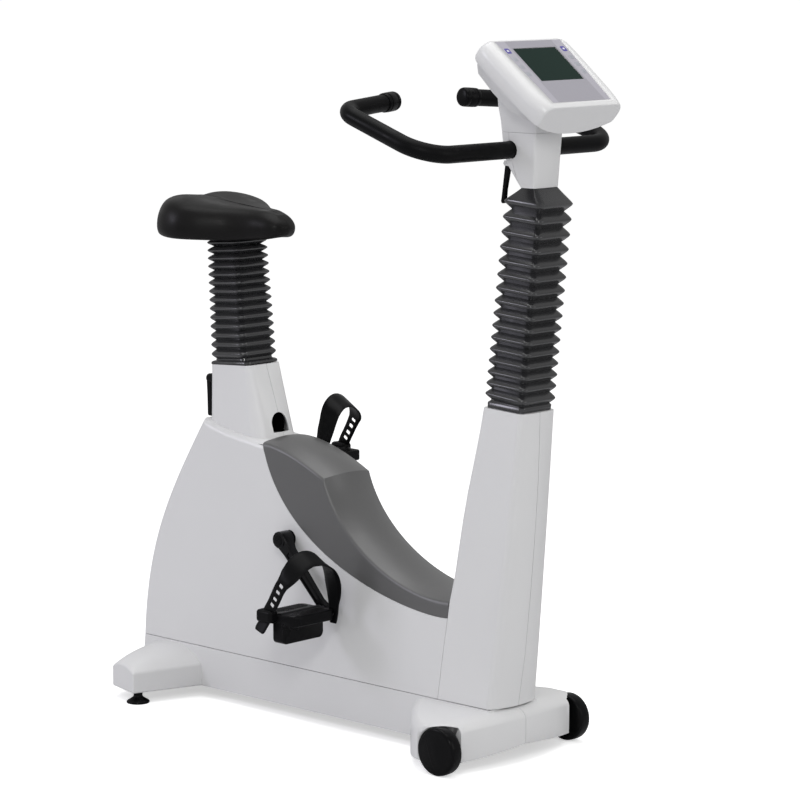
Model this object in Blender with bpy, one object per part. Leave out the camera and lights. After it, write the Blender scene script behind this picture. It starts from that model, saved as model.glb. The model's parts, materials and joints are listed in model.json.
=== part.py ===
# Bicycle ergometer: an upright exercise cycle with a braked flywheel in a moulded housing,
# a saddle and a handlebar head that slide in ribbed bellows, and a console that swivels.
#
# Units are metres. +X is the front, where the handlebar column stands, +Y is the left of a
# rider who faces the front, +Z is up, and z = 0 is the floor. The origin lies under the
# middle of the object. Each piece of the real object is one named object here.

from math import acos, atan2, cos, degrees, hypot, pi, radians, sin, sqrt, tan

import bmesh
import bpy
from mathutils import Matrix, Vector

# Driving dimensions
GAP = 0.0003
REACH = 0.559
HOUSING_HALF = 0.067
WALL = 0.0035
SEAM_Z = 0.103
BASE_BOTTOM_Z = 0.022

SEAT_AXIS_POINT = Vector((-0.320, 0.0, 0.680))
SEAT_AXIS = Vector((-0.078, 0.0, 1.0)).normalized()
COLUMN_AXIS_POINT = Vector((0.404, 0.0, 0.662))
COLUMN_AXIS = Vector((0.1165, 0.0, 1.0)).normalized()

CRANK_AXLE = Vector((-0.126, 0.0, 0.357))
CRANK_ARM = 0.170
CRANK_ANGLE = radians(-45.0)
FLYWHEEL_AXLE = Vector((0.100, 0.0, 0.205))
PEDAL_RIGHT_SPINDLE = CRANK_AXLE + CRANK_ARM * Vector((cos(CRANK_ANGLE), 0.0, sin(CRANK_ANGLE)))
PEDAL_LEFT_SPINDLE = CRANK_AXLE - CRANK_ARM * Vector((cos(CRANK_ANGLE), 0.0, sin(CRANK_ANGLE)))

CROSSBAR = Vector((0.411, 0.0, 1.133))
SWIVEL_AXIS_X = 0.430
HEAD_TOP_Z = 1.165
WHEEL_CENTRE = Vector((0.374, 0.180, 0.045))
WHEEL_RADIUS = 0.045
FOOT_CENTRE = Vector((-0.436, 0.188, 0.0))
SEAT_LEVER_Z = 0.635

RIGHT = -1
LEFT = 1
SHAFT_SIDES = 12


# Clear the scene
for old_object in list(bpy.data.objects):
    bpy.data.objects.remove(old_object, do_unlink=True)


# Materials
def make_material(name, color, roughness, metallic=0.0):
    material = bpy.data.materials.new(name)
    material.use_nodes = True
    shader = material.node_tree.nodes["Principled BSDF"]
    shader.inputs["Base Color"].default_value = (*color, 1.0)
    shader.inputs["Roughness"].default_value = roughness
    shader.inputs["Metallic"].default_value = metallic
    material.diffuse_color = (*color, 1.0)
    return material


WHITE = make_material("white_cover", (0.80, 0.80, 0.83), 0.38)
GRAY = make_material("gray_cover", (0.10, 0.10, 0.105), 0.5)
BELLOWS_RUBBER = make_material("bellows_rubber", (0.035, 0.035, 0.038), 0.3)
BLACK_PLASTIC = make_material("black_plastic", (0.012, 0.012, 0.013), 0.4)
BAR_COATING = make_material("bar_coating", (0.01, 0.01, 0.011), 0.45)
SADDLE_COVER = make_material("saddle_cover", (0.012, 0.012, 0.012), 0.55)
FRAME_STEEL = make_material("frame_steel", (0.05, 0.05, 0.055), 0.5, 0.6)
BRIGHT_STEEL = make_material("bright_steel", (0.6, 0.6, 0.62), 0.3, 1.0)
CAST_IRON = make_material("cast_iron", (0.12, 0.12, 0.13), 0.5, 0.8)
BELT_RUBBER = make_material("belt_rubber", (0.02, 0.02, 0.02), 0.7)
TYRE = make_material("wheel_rubber", (0.015, 0.015, 0.016), 0.5)
FOIL = make_material("keypad_foil", (0.55, 0.57, 0.62), 0.4)
SCREEN = make_material("screen_glass", (0.03, 0.05, 0.045), 0.15)


# Curves and outlines
def curve_point(curve, share):
    """One point of a cubic curve given by its start, two pulls and its end."""
    left = 1 - share
    weights = (left ** 3, 3 * share * left ** 2, 3 * share ** 2 * left, share ** 3)
    return tuple(sum(w * c[axis] for w, c in zip(weights, curve)) for axis in range(2))


def bezier(start, pull_start, pull_end, end, steps):
    """Points of a cubic curve, both ends included."""
    return [curve_point((start, pull_start, pull_end, end), step / steps) for step in range(steps + 1)]


def arc(centre, radius, start_degrees, end_degrees, steps):
    """Points of a round arc in a plane, both ends included."""
    points = []
    for step in range(steps + 1):
        angle = radians(start_degrees + (end_degrees - start_degrees) * step / steps)
        points.append((centre[0] + radius * cos(angle), centre[1] + radius * sin(angle)))
    return points


def mix(low, high, share):
    return low + (high - low) * share


def read_at(table, key):
    """A value between the rows of a short table of (key, value) pairs."""
    for (key_0, value_0), (key_1, value_1) in zip(table, table[1:]):
        if key <= key_1:
            return mix(value_0, value_1, (key - key_0) / (key_1 - key_0))
    return table[-1][1]


def shifted(points, distance):
    """An open outline moved sideways to its left by a distance."""
    moved = []
    for index, point in enumerate(points):
        before = points[max(index - 1, 0)]
        after = points[min(index + 1, len(points) - 1)]
        run = (after[0] - before[0], after[1] - before[1])
        length = hypot(*run)
        moved.append((point[0] - run[1] / length * distance, point[1] + run[0] / length * distance))
    return moved


def rounded_box(rear, front, half_rear, half_front, radius, bulge=0.0, steps=3, front_steps=4,
                rear_radius=None):
    """A rounded four-sided outline (x, y) whose front side bows forward by the bulge."""
    rear_radius = radius if rear_radius is None else rear_radius
    corners = arc((front - radius, half_front - radius), radius, 0, 90, steps)
    corners += arc((rear + rear_radius, half_rear - rear_radius), rear_radius, 90, 180, steps)
    corners += arc((rear + rear_radius, rear_radius - half_rear), rear_radius, 180, 270, steps)
    corners += arc((front - radius, radius - half_front), radius, 270, 360, steps)
    side = half_front - radius
    corners += [(front, mix(-side, side, step / front_steps)) for step in range(1, front_steps)]
    middle = (rear + front) / 2
    bowed = []
    for x, y in corners:
        share = max(0.0, (x - middle) / (front - middle))
        bowed.append((x + bulge * share * (1 - (y / half_front) ** 2), y))
    return bowed


# Solids
def ring_solid(rings, closed_loop=False):
    """A closed solid from rings with equal counts of points, joined in order."""
    bm = bmesh.new()
    loops = [[bm.verts.new(point) for point in ring] for ring in rings]
    pairs = list(zip(loops, loops[1:]))
    if closed_loop:
        pairs.append((loops[-1], loops[0]))
    count = len(rings[0])
    for first, second in pairs:
        for index in range(count):
            after = (index + 1) % count
            bm.faces.new((first[index], first[after], second[after], second[index]))
    if not closed_loop:
        bm.faces.new(list(reversed(loops[0])))
        bm.faces.new(loops[-1])
    bmesh.ops.recalc_face_normals(bm, faces=bm.faces)
    return bm


def prism(outline, low, high, axis):
    """An outline drawn out along X, Y or Z; its points lie in the plane across that axis."""
    def place(point, distance):
        if axis == "X":
            return (distance, point[0], point[1])
        if axis == "Y":
            return (point[0], distance, point[1])
        return (point[0], point[1], distance)

    return ring_solid([[place(point, low) for point in outline],
                       [place(point, high) for point in outline]])


def block(low, high):
    outline = ((low[0], low[1]), (high[0], low[1]), (high[0], high[1]), (low[0], high[1]))
    return prism(outline, low[2], high[2], "Z")


def turned(profile, steps, centre=(0, 0, 0), direction=(0, 0, 1)):
    """A turned solid from (distance along the axis, radius) pairs.

    A radius of 0 is a point on the axis. A profile without such points is a closed ring.
    """
    bm = bmesh.new()
    loops = []
    for distance, radius in profile:
        if radius == 0:
            loops.append([bm.verts.new((0, 0, distance))])
            continue
        turns = [2 * pi * k / steps for k in range(steps)]
        loops.append([bm.verts.new((radius * cos(turn), radius * sin(turn), distance)) for turn in turns])
    pairs = list(zip(loops, loops[1:]))
    if all(radius > 0 for _, radius in profile):
        pairs.append((loops[-1], loops[0]))
    for first, second in pairs:
        for k in range(steps):
            after = (k + 1) % steps
            if len(first) == 1:
                bm.faces.new((first[0], second[after], second[k]))
            elif len(second) == 1:
                bm.faces.new((first[k], first[after], second[0]))
            else:
                bm.faces.new((first[k], first[after], second[after], second[k]))
    bmesh.ops.recalc_face_normals(bm, faces=bm.faces)
    turn = Vector((0, 0, 1)).rotation_difference(Vector(direction)).to_matrix().to_4x4()
    bm.transform(Matrix.Translation(Vector(centre)) @ turn)
    return bm


def cylinder(radius, start, end, steps=16):
    """A round bar between two points."""
    start = Vector(start)
    end = Vector(end)
    length = (end - start).length
    return turned([(0, 0), (0, radius), (length, radius), (length, 0)], steps, start, end - start)


def rounded_path(corners, radii, steps=5):
    """A path through corner points, each inner corner replaced by an arc."""
    path = [Vector(corners[0])]
    for before, corner, after, radius in zip(corners, corners[1:], corners[2:], radii):
        before, corner, after = Vector(before), Vector(corner), Vector(after)
        back = (before - corner).normalized()
        ahead = (after - corner).normalized()
        opening = back.angle(ahead)
        trim = radius / tan(opening / 2)
        centre = corner + (back + ahead).normalized() * (radius / sin(opening / 2))
        start = corner + back * trim - centre
        end = corner + ahead * trim - centre
        sweep = start.angle(end)
        for step in range(steps + 1):
            share = step / steps
            point = start * sin((1 - share) * sweep) + end * sin(share * sweep)
            path.append(centre + point / sin(sweep))
    path.append(Vector(corners[-1]))
    return path


def path_frames(path, up_hint):
    """A point, a side and an up direction for each point of a path, turned as little as can be."""
    frames = []
    side = None
    for index, point in enumerate(path):
        before = path[max(index - 1, 0)]
        after = path[min(index + 1, len(path) - 1)]
        along = (after - before).normalized()
        if side is None:
            side = Vector(up_hint).cross(along).normalized()
        side = (side - along * side.dot(along)).normalized()
        frames.append((point, side, along.cross(side)))
    return frames


def axis_point(base, axis, z):
    """The point of a leaning axis at a height."""
    return base + axis * ((z - base.z) / axis.z)


def slanted_tube(base, axis, half, low_z, high_z, corner=0.004, steps=1):
    """A square bar along a leaning axis, between two heights on the axis."""
    outline = rounded_box(-half, half, half, half, corner, 0, steps, 1)
    side = Vector((axis.z, 0, -axis.x))
    rings = []
    for z in (low_z, high_z):
        centre = axis_point(base, axis, z)
        rings.append([centre + side * x + Vector((0, y, 0)) for x, y in outline])
    return ring_solid(rings)


# Objects
def to_object(name, bm, material, origin=(0, 0, 0), angle=35):
    """A named piece whose mesh is given in world places and whose origin is a chosen point."""
    mesh = bpy.data.meshes.new(name)
    bm.transform(Matrix.Translation(-Vector(origin)))
    bm.to_mesh(mesh)
    bm.free()
    mesh.materials.append(material)
    mesh.shade_smooth()
    mesh.set_sharp_from_angle(angle=radians(angle))
    piece = bpy.data.objects.new(name, mesh)
    piece.location = origin
    bpy.context.scene.collection.objects.link(piece)
    bpy.context.view_layer.update()
    return piece


def combine(target, tools, operation):
    """Cut the target by each tool, or join each tool to it, and keep the finished mesh."""
    helpers = []
    for tool in tools:
        mesh = bpy.data.meshes.new("tool")
        tool.to_mesh(mesh)
        tool.free()
        helper = bpy.data.objects.new("tool", mesh)
        helper.hide_render = True
        helper.display_type = "WIRE"
        bpy.context.scene.collection.objects.link(helper)
        modifier = target.modifiers.new(operation.lower(), "BOOLEAN")
        modifier.operation = operation
        modifier.object = helper
        helpers.append(helper)
    bpy.context.view_layer.update()
    depsgraph = bpy.context.evaluated_depsgraph_get()
    finished = bpy.data.meshes.new_from_object(target.evaluated_get(depsgraph))
    target.modifiers.clear()
    target.data = finished
    for helper in helpers:
        bpy.data.objects.remove(helper, do_unlink=True)
    tidy(target)
    return target


def tidy(piece):
    """Merge doubled points and flat neighbours after a cut."""
    bm = bmesh.new()
    bm.from_mesh(piece.data)
    bmesh.ops.remove_doubles(bm, verts=bm.verts, dist=1e-6)
    bmesh.ops.dissolve_degenerate(bm, edges=bm.edges, dist=1e-6)
    bm.to_mesh(piece.data)
    bm.free()
    piece.data.shade_smooth()
    piece.data.set_sharp_from_angle(angle=radians(35))


def cut(target, *tools):
    return combine(target, tools, "DIFFERENCE")


def join(target, *tools):
    return combine(target, tools, "UNION")


def in_place(piece, tools, action):
    """Cut or join tools given in world places on a piece whose origin lies elsewhere."""
    for tool in tools:
        tool.transform(Matrix.Translation(-piece.location))
    place = piece.location.copy()
    piece.location = (0, 0, 0)
    bpy.context.view_layer.update()
    action(piece, *tools)
    piece.location = place
    bpy.context.view_layer.update()
    return piece


def mirrored(piece, name):
    """The same piece on the other side of the middle plane."""
    mesh = piece.data.copy()
    mesh.name = name
    mesh.transform(Matrix.Scale(-1, 4, (0, 1, 0)))
    mesh.flip_normals()
    copy = bpy.data.objects.new(name, mesh)
    copy.location = (piece.location.x, -piece.location.y, piece.location.z)
    bpy.context.scene.collection.objects.link(copy)
    return copy


def group(name, place):
    """An empty on a joint's axis, for the pieces that move on it."""
    empty = bpy.data.objects.new(name, None)
    empty.location = place
    empty.hide_render = True
    bpy.context.scene.collection.objects.link(empty)
    bpy.context.view_layer.update()
    return empty


def carry(parent, *pieces):
    for piece in pieces:
        piece.parent = parent
        piece.matrix_parent_inverse = parent.matrix_world.inverted()


# Housing: outlines that its covers share, as (x, z) in the side view
REAR_EDGE = bezier((-0.556, SEAM_Z), (-0.545, 0.296), (-0.485, 0.397), (-0.372, 0.559), 8)
COVER_EDGE = ((-0.199, 0.530), (-0.145, 0.309), (0.205, 0.250), (0.293, 0.261))
COVER_BROW = ((-0.203, 0.535), (-0.182, 0.536), (-0.120, 0.526), (-0.037, 0.484))
COVER_SLOPE = ((-0.037, 0.484), (0.008, 0.353), (0.182, 0.282), (0.289, 0.292))
COLUMN_REAR = ((SEAM_Z, 0.264), (0.202, 0.279), (0.261, 0.289), (0.365, 0.302), (0.480, 0.319),
               (0.582, 0.341), (0.662, 0.357))
COLUMN_FRONT = ((SEAM_Z, 0.391), (0.657, 0.450))
COLUMN_NOSE = ((SEAM_Z, 0.406), (0.202, 0.422), (0.323, 0.435), (0.424, 0.444), (0.539, 0.452),
               (0.662, 0.455))
BROW_SHARE = 0.2
BROW_STEPS = (0.16, 0.3333, 0.6667, 1.0)
SLOPE_STEPS = 8
EDGE_SHARES = [BROW_SHARE * step for step in BROW_STEPS]
EDGE_SHARES += [BROW_SHARE + (1 - BROW_SHARE) * (step + 1) / SLOPE_STEPS for step in range(SLOPE_STEPS)]
TOWER_CORNER = 0.010
CRANK_HOLE = 0.016


def tower_ring(height, inset):
    """A level outline of the seat tower; height runs from 0 at its foot to 1 at its top."""
    rear = mix(-0.364, -0.371, height) + inset
    front = mix(-0.222, -0.262, height) - inset
    half = mix(0.0555, 0.043, height) - inset
    bulge = mix(0.027, 0.002, height)
    outline = rounded_box(rear, front, half, half, TOWER_CORNER - inset / 2, bulge, 2)
    rear_z = mix(0.500, 0.671, height)
    front_z = mix(0.500, 0.678, height)
    return [(x, y, mix(rear_z, front_z, (x - rear) / (front - rear))) for x, y in outline]


def housing_block(inset):
    """The wide part of the housing under the tower, with its rear and shoulder edges rounded."""
    rear = shifted(REAR_EDGE, -inset)
    shoulder = [(-0.304, 0.547 - inset), (-0.2040, 0.5345 - inset)]
    if inset:
        rear[0] = (rear[0][0], SEAM_Z - 0.02)
        outline = rear + shoulder + [(-0.15, 0.60), (0.36, 0.50), (0.36, SEAM_Z - 0.02)]
    else:
        rest = [(read_at(COLUMN_REAR, z) - GAP, z) for z in (0.2604, 0.202, SEAM_Z + GAP)]
        rear[0] = (rear[0][0], SEAM_Z + GAP)
        outline = rear + shoulder + [curve_point(COVER_EDGE, share) for share in EDGE_SHARES[:-1]] + rest
    half = HOUSING_HALF - inset
    bm = prism(outline, -half, half, "Y")
    rounded = []
    kept = {(round(x, 5), round(z, 5)) for x, z in rear + shoulder}
    for edge in bm.edges:
        ends = [(round(v.co.x, 5), round(v.co.z, 5)) for v in edge.verts]
        level = abs(edge.verts[0].co.y - edge.verts[1].co.y) < 1e-6
        if level and ends[0] in kept and ends[1] in kept:
            rounded.append(edge)
    bmesh.ops.bevel(bm, geom=rounded, offset=0.012 - inset, segments=2, profile=0.5, affect="EDGES")
    return bm


def other_side():
    """All that lies left of the middle seam."""
    return block((-1, -GAP / 2, -1), (1, 1, 2))


# Body panels: a right and a left half, moulded in one with the seat tower
def body_panels():
    panel = to_object("body_panel_right", housing_block(0), WHITE)
    join(panel, ring_solid([tower_ring(height, 0) for height in (0, 0.5, 1)]))
    tower_cavity = ring_solid([tower_ring(0, WALL), tower_ring(0.5, WALL), tower_ring(1 - 0.018, WALL),
                               tower_ring(1 - 0.018, 0.009), tower_ring(1.06, 0.009)])
    arch = [(-0.0235, 0.548), (0.0235, 0.548)] + arc((0, 0.562), 0.0235, 0, 180, 8)
    arch = [(y, z if z < 0.563 else 0.562 + (z - 0.562) * 1.1) for y, z in arch]
    cut(panel, housing_block(WALL))
    cut(panel, tower_cavity, prism(arch, -0.245, -0.19, "X"))
    across = Vector((0, 0.1, 0))
    crank_hole = cylinder(CRANK_HOLE, CRANK_AXLE - across, CRANK_AXLE + across, 16)
    screw_hole = cylinder(0.0065, (-0.40, 0, SEAT_LEVER_Z), (-0.35, 0, SEAT_LEVER_Z), 12)
    cut(panel, crank_hole, screw_hole, other_side())
    return panel, mirrored(panel, "body_panel_left")


# Top cover: one gray moulding over the opening between the panels
def top_cover():
    ridges = [(COVER_BROW, step / 3) for step in range(4)]
    ridges += [(COVER_SLOPE, (step + 1) / SLOPE_STEPS) for step in range(SLOPE_STEPS)]
    rings = []
    for edge_share, (ridge_curve, ridge_share) in zip(EDGE_SHARES, ridges):
        foot = Vector(curve_point(COVER_EDGE, edge_share))
        ridge = Vector(curve_point(ridge_curve, ridge_share))
        up = ridge - foot
        up.normalize()
        foot = foot + up * GAP * 2
        height = (ridge - foot).length
        crown = 0.012 * min(1.0, 0.55 + ridge_share * 2 if ridge_curve is COVER_BROW else 1.0)
        outer = [(HOUSING_HALF, 0.0), (0.0662, height * 0.6), (0.0645, height - 0.003)]
        outer.append((0.0605, height + 0.0012))
        outer += [(0.042, height + crown * 0.62), (0.021, height + crown * 0.92), (0.0, height + crown)]
        inner = [(y * (HOUSING_HALF - WALL) / HOUSING_HALF, max(h - WALL, 0.0) if h > 0 else 0.0)
                 for y, h in outer]
        inner[1] = (inner[1][0], height * 0.5)
        profile = [(-y, h) for y, h in outer] + [(y, h) for y, h in reversed(outer[:-1])]
        profile += [(y, h) for y, h in inner] + [(-y, h) for y, h in reversed(inner[:-1])]
        rings.append([(foot.x + up.x * h, y, foot.y + up.y * h) for y, h in profile])
    cover = to_object("top_cover", ring_solid(rings), GRAY)
    front = [(read_at(COLUMN_REAR, z) - GAP, z) for z in (SEAM_Z, 0.261, 0.365)]
    cut(cover, prism(front + [(0.4, 0.365), (0.4, SEAM_Z)], -0.1, 0.1, "Y"))
    return cover


# Column cover: a right and a left half around the handlebar column
def column_ring(z, inset):
    rear = read_at(COLUMN_REAR, z) + inset
    front = read_at(COLUMN_FRONT, z) - inset
    nose = read_at(COLUMN_NOSE, z) - inset
    half_rear = read_at(((0.1, HOUSING_HALF), (0.27, HOUSING_HALF), (0.662, 0.0475)), z) - inset
    half_front = mix(0.066, 0.0475, (z - SEAM_Z) / (0.657 - SEAM_Z)) - inset
    corner = 0.010 - inset / 2
    rear_corner = 0.0012 if z < 0.300 else corner
    outline = rounded_box(rear, front, half_rear, half_front, corner, nose - front, 2, 4, rear_corner)
    skewed = []
    for x, y in outline:
        share = min(max((x - rear) / (front - rear), 0.0), 1.0)
        on_side = rear + corner < x <= front - corner
        skewed.append((x, y * mix(1.0, half_front / half_rear, share) if on_side else y))
    return [(x, y, z) for x, y in skewed]


def column_lid(x):
    """Height of the column cover's top, which falls a little towards the front."""
    return mix(0.662, 0.657, (x - 0.357) / 0.098)


def lid_ring(inset, rise):
    return [(x, y, column_lid(x) + rise) for x, y, _ in column_ring(0.657, inset)]


def column_covers():
    levels = (0.202, 0.261, 0.2995, 0.3005, 0.400, 0.530)
    outer = [column_ring(z, 0) for z in (SEAM_Z + GAP, *levels)] + [lid_ring(0, 0)]
    cover = to_object("column_cover_right", ring_solid(outer), WHITE)
    cavity = [column_ring(z, WALL) for z in (0.09, *levels)]
    cavity += [lid_ring(WALL, -WALL), lid_ring(0.010, -WALL), lid_ring(0.010, 0.02)]
    rear_opening = block((0.2, -0.0630, 0.08), (0.3100, 0.0630, 0.290))
    cut(cover, ring_solid(cavity))
    cut(cover, rear_opening, other_side())
    left = mirrored(cover, "column_cover_left")
    cut(left, block(POWER_LOW, POWER_HIGH))
    return cover, left


# Power inlet and switch, in the left side of the column cover
POWER_LOW = (0.318, 0.050, 0.128)
POWER_HIGH = (0.346, 0.080, 0.186)


# Base covers: a right and a left half over the floor frame, with the front and rear feet
def beam_block(inset):
    low = BASE_BOTTOM_Z - (0.05 if inset else 0)
    high = SEAM_Z - GAP + (0.02 if inset else 0)
    rear = [(-REACH + inset, low), (-REACH + inset, 0.077), (-0.5555 + inset, SEAM_Z - GAP)]
    if inset:
        rear.append((-0.5555 + inset, high))
    outline = rear + [(0.395 - inset, high), (0.395 - inset, low)]
    return prism(outline, inset - HOUSING_HALF, HOUSING_HALF - inset, "Y")


FRONT_FOOT_ENDS = ((0.0, 0.199, 0.425, 0.034, 0.1025), (0.055, 0.199, 0.4205, 0.029, 0.1015),
                   (0.100, 0.231, 0.412, 0.0245, 0.0985), (0.140, 0.269, 0.403, 0.022, 0.0960),
                   (0.176, 0.302, 0.397, 0.022, 0.0935), (0.188, 0.328, 0.390, 0.022, 0.0915))


def front_foot_block(side, inset, reach=None):
    """The right half of the front foot, as sections along Y that run outwards."""
    rings = []
    for out, rear, front, low, high in FRONT_FOOT_ENDS:
        if reach and out > reach:
            break
        rear += inset
        front -= inset
        high -= inset
        low = -0.03 if inset else low
        crease = high - 0.0165
        ring = [(rear, low), (rear, high - 0.012), (rear + 0.004, high - 0.004), (rear + 0.014, high),
                (mix(rear, front, 0.55), high), (front - 0.018, high - 0.0065),
                (front - 0.005, high - 0.0125), (front, crease - 0.003), (front + 0.001, crease - 0.025),
                (front, low)]
        rings.append([(x, side * out, z) for x, z in ring])
    return ring_solid(rings)


def rear_foot_block(side, inset):
    """One rear foot: upright sides under a domed top that dies away towards the end."""
    rings = []
    for share in (0.0, 0.35, 0.65, 0.87, 1.0):
        end_inset = inset if share == 1 else 0
        front = Vector((mix(-0.376, -0.426, share) - inset, side * (mix(0.050, 0.210, share) - end_inset)))
        rear = Vector((mix(-0.556, -0.511, share) + inset, side * (mix(0.050, 0.189, share) - end_inset)))
        wall_top = mix(0.066, 0.063, share) - inset
        dome = 0.004 + 0.031 * sqrt(max(0.0, 1 - (0.98 * share) ** 2.2))
        low = -0.03 if inset else BASE_BOTTOM_Z
        ring = [(front.x, front.y, low)]
        for step in range(7):
            part = step / 6
            place = front.lerp(rear, part)
            lift = dome * (1 - abs(2 * part - 1) ** 2.4)
            ring.append((place.x, place.y, wall_top + lift))
        ring.append((rear.x, rear.y, low))
        rings.append(ring)
    return ring_solid(rings)


def base_covers():
    cover = to_object("base_cover_right", beam_block(0), WHITE)
    join(cover, front_foot_block(RIGHT, 0), rear_foot_block(RIGHT, 0))
    cut(cover, beam_block(WALL))
    cut(cover, front_foot_block(RIGHT, WALL, 0.14), rear_foot_block(RIGHT, WALL))
    wheel = WHEEL_CENTRE
    pocket = cylinder(WHEEL_RADIUS + 0.006, (wheel.x, -0.210, wheel.z), (wheel.x, -0.151, wheel.z), 20)
    ahead = block((wheel.x, -0.210, -0.02), (0.45, -0.151, 0.083))
    below = block((wheel.x - 0.035, -0.210, -0.02), (wheel.x + 0.02, -0.151, 0.045))
    axle_hole = cylinder(0.0075, (wheel.x, -0.16, wheel.z), (wheel.x, -0.13, wheel.z), 12)
    cut(cover, pocket, ahead, below, axle_hole)
    cut(cover, other_side())
    return cover, mirrored(cover, "base_cover_left")


# Tower liner: the black cup behind the arch in the tower's front
def tower_liner():
    outer = [(-0.030, 0.5385), (0.030, 0.5385)] + arc((0, 0.565), 0.030, 0, 180, 8)
    liner = to_object("tower_liner", prism(outer, -0.2685, -0.2395, "X"), BLACK_PLASTIC)
    inner = [(-0.0265, 0.5415), (0.0265, 0.5415)] + arc((0, 0.565), 0.0265, 0, 180, 8)
    cut(liner, prism(inner, -0.2660, -0.2200, "X"))
    return liner


# Main frame: welded steel, from the floor tubes up to the seat and column tubes
TUBE_HALF = 0.027
TUBE_BORE_HALF = 0.0231
POST_HALF = 0.0225
POST_BORE_HALF = 0.019
BEARING_SHELL_RADIUS = 0.025
BEARING_RADIUS = 0.021
FLYWHEEL_BEARING_RADIUS = 0.0139


def main_frame():
    spine = block((-0.470, -0.026, 0.0365), (0.389, 0.026, 0.0765))
    frame = to_object("main_frame", spine, FRAME_STEEL)
    rear_tube = block((-0.460, -0.196, 0.031), (-0.4275, 0.196, 0.057))
    front_tube = block((0.358, -0.1395, 0.0305), (0.3885, 0.1395, 0.0595))
    axles = cylinder(0.006, (WHEEL_CENTRE.x, -0.188, 0.045), (WHEEL_CENTRE.x, 0.188, 0.045), 12)
    join(frame, rear_tube, front_tube, axles)
    seat_tube = slanted_tube(SEAT_AXIS_POINT, SEAT_AXIS, TUBE_HALF, 0.070, 0.655)
    column_tube = slanted_tube(COLUMN_AXIS_POINT, COLUMN_AXIS, TUBE_HALF, 0.070, 0.645)
    shell_end = Vector((0, 0.034, 0))
    shell = cylinder(BEARING_SHELL_RADIUS, CRANK_AXLE - shell_end, CRANK_AXLE + shell_end, SHAFT_SIDES)
    strut = block((CRANK_AXLE.x - 0.018, -0.015, 0.070), (CRANK_AXLE.x + 0.018, 0.015, CRANK_AXLE.z - 0.015))
    brace = [(-0.287, 0.330), (-0.287, 0.360), (-0.140, 0.372), (-0.140, 0.342)]
    join(frame, seat_tube, column_tube)
    join(frame, shell, strut, prism(brace, -0.010, 0.010, "Y"))
    cheek = [(0.062, 0.070), (0.138, 0.070), (0.120, 0.212)]
    cheek += arc((FLYWHEEL_AXLE.x, FLYWHEEL_AXLE.z), 0.0215, 20, 160, 6) + [(0.080, 0.212)]
    join(frame, prism(cheek, 0.0200, 0.0260, "Y"), prism(cheek, -0.0520, -0.0460, "Y"),
         block((0.062, -0.052, 0.0665), (0.138, 0.026, 0.0765)))
    seat_bore = slanted_tube(SEAT_AXIS_POINT, SEAT_AXIS, TUBE_BORE_HALF, 0.0865, 0.70)
    column_bore = slanted_tube(COLUMN_AXIS_POINT, COLUMN_AXIS, TUBE_BORE_HALF, 0.0865, 0.70)
    cut(frame, seat_bore, column_bore)
    across = Vector((0, 0.06, 0))
    shaft_hole = cylinder(FLYWHEEL_BEARING_RADIUS + GAP, FLYWHEEL_AXLE - across, FLYWHEEL_AXLE + across,
                          SHAFT_SIDES)
    shell_bore = cylinder(BEARING_RADIUS + GAP, CRANK_AXLE - across, CRANK_AXLE + across, SHAFT_SIDES)
    screw_hole = cylinder(0.0060, (-0.40, 0, SEAT_LEVER_Z), (-0.32, 0, SEAT_LEVER_Z), 10)
    stem_holes = []
    for side in (RIGHT, LEFT):
        place = Vector((FOOT_CENTRE.x, side * FOOT_CENTRE.y, 0))
        stem_holes.append(cylinder(0.0056, place + Vector((0, 0, 0.02)), place + Vector((0, 0, 0.07)), 12))
    cut(frame, shaft_hole, shell_bore, screw_hole, *stem_holes)
    return frame


# Bearings: rings pressed into the crank shell and into the flywheel's cheek plates
def bearing(name, centre, outer, inner, width):
    half = width / 2
    profile = [(-half, inner), (-half, outer), (half, outer), (half, inner)]
    return to_object(name, turned(profile, SHAFT_SIDES, centre, (0, 1, 0)), BRIGHT_STEEL)


# Drive: crank axle, pulley, belt, flywheel and eddy current brake
PULLEY_RADIUS = 0.105
DRIVEN_RADIUS = 0.0175
BELT_LOW_Y = 0.0445
BELT_HIGH_Y = 0.0555
BELT_THICKNESS = 0.0025
BELT_CLEARANCE = 0.0009
AXLE_RADIUS = 0.0085
SQUARE_HALF = 0.0062
SEAT_RADIUS = 0.0115


def crank_axle():
    """A round axle with a collar, a seat for the pulley and a square at each end for the arms."""
    profile = [(-0.068, 0), (-0.068, AXLE_RADIUS), (-0.0385, AXLE_RADIUS), (-0.0385, SEAT_RADIUS),
               (-0.0340, SEAT_RADIUS), (-0.0340, AXLE_RADIUS), (0.0385, AXLE_RADIUS), (0.0385, SEAT_RADIUS),
               (0.0560, SEAT_RADIUS), (0.0560, AXLE_RADIUS), (0.068, AXLE_RADIUS), (0.068, 0)]
    axle = to_object("crank_axle", turned(profile, SHAFT_SIDES, CRANK_AXLE, (0, 1, 0)), BRIGHT_STEEL,
                     CRANK_AXLE)
    ends = []
    for side in (RIGHT, LEFT):
        low, high = sorted((side * 0.066, side * 0.0925))
        low_corner = CRANK_AXLE + Vector((-SQUARE_HALF, low, -SQUARE_HALF))
        high_corner = CRANK_AXLE + Vector((SQUARE_HALF, high, SQUARE_HALF))
        ends.append(block(low_corner, high_corner))
    return in_place(axle, ends, join)


def crank_pulley():
    """A broad rim and a hub on a thinner web."""
    rim = [(-0.0055, SEAT_RADIUS + 0.0004), (-0.0055, 0.022), (-0.0020, 0.024), (-0.0020, 0.094),
           (-0.0055, 0.096), (-0.0055, PULLEY_RADIUS)]
    rim += [(-y, r) for y, r in reversed(rim)]
    centre = CRANK_AXLE + Vector((0, 0.050, 0))
    return to_object("crank_pulley", turned(rim, 24, centre, (0, 1, 0)), BLACK_PLASTIC, CRANK_AXLE)


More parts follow.
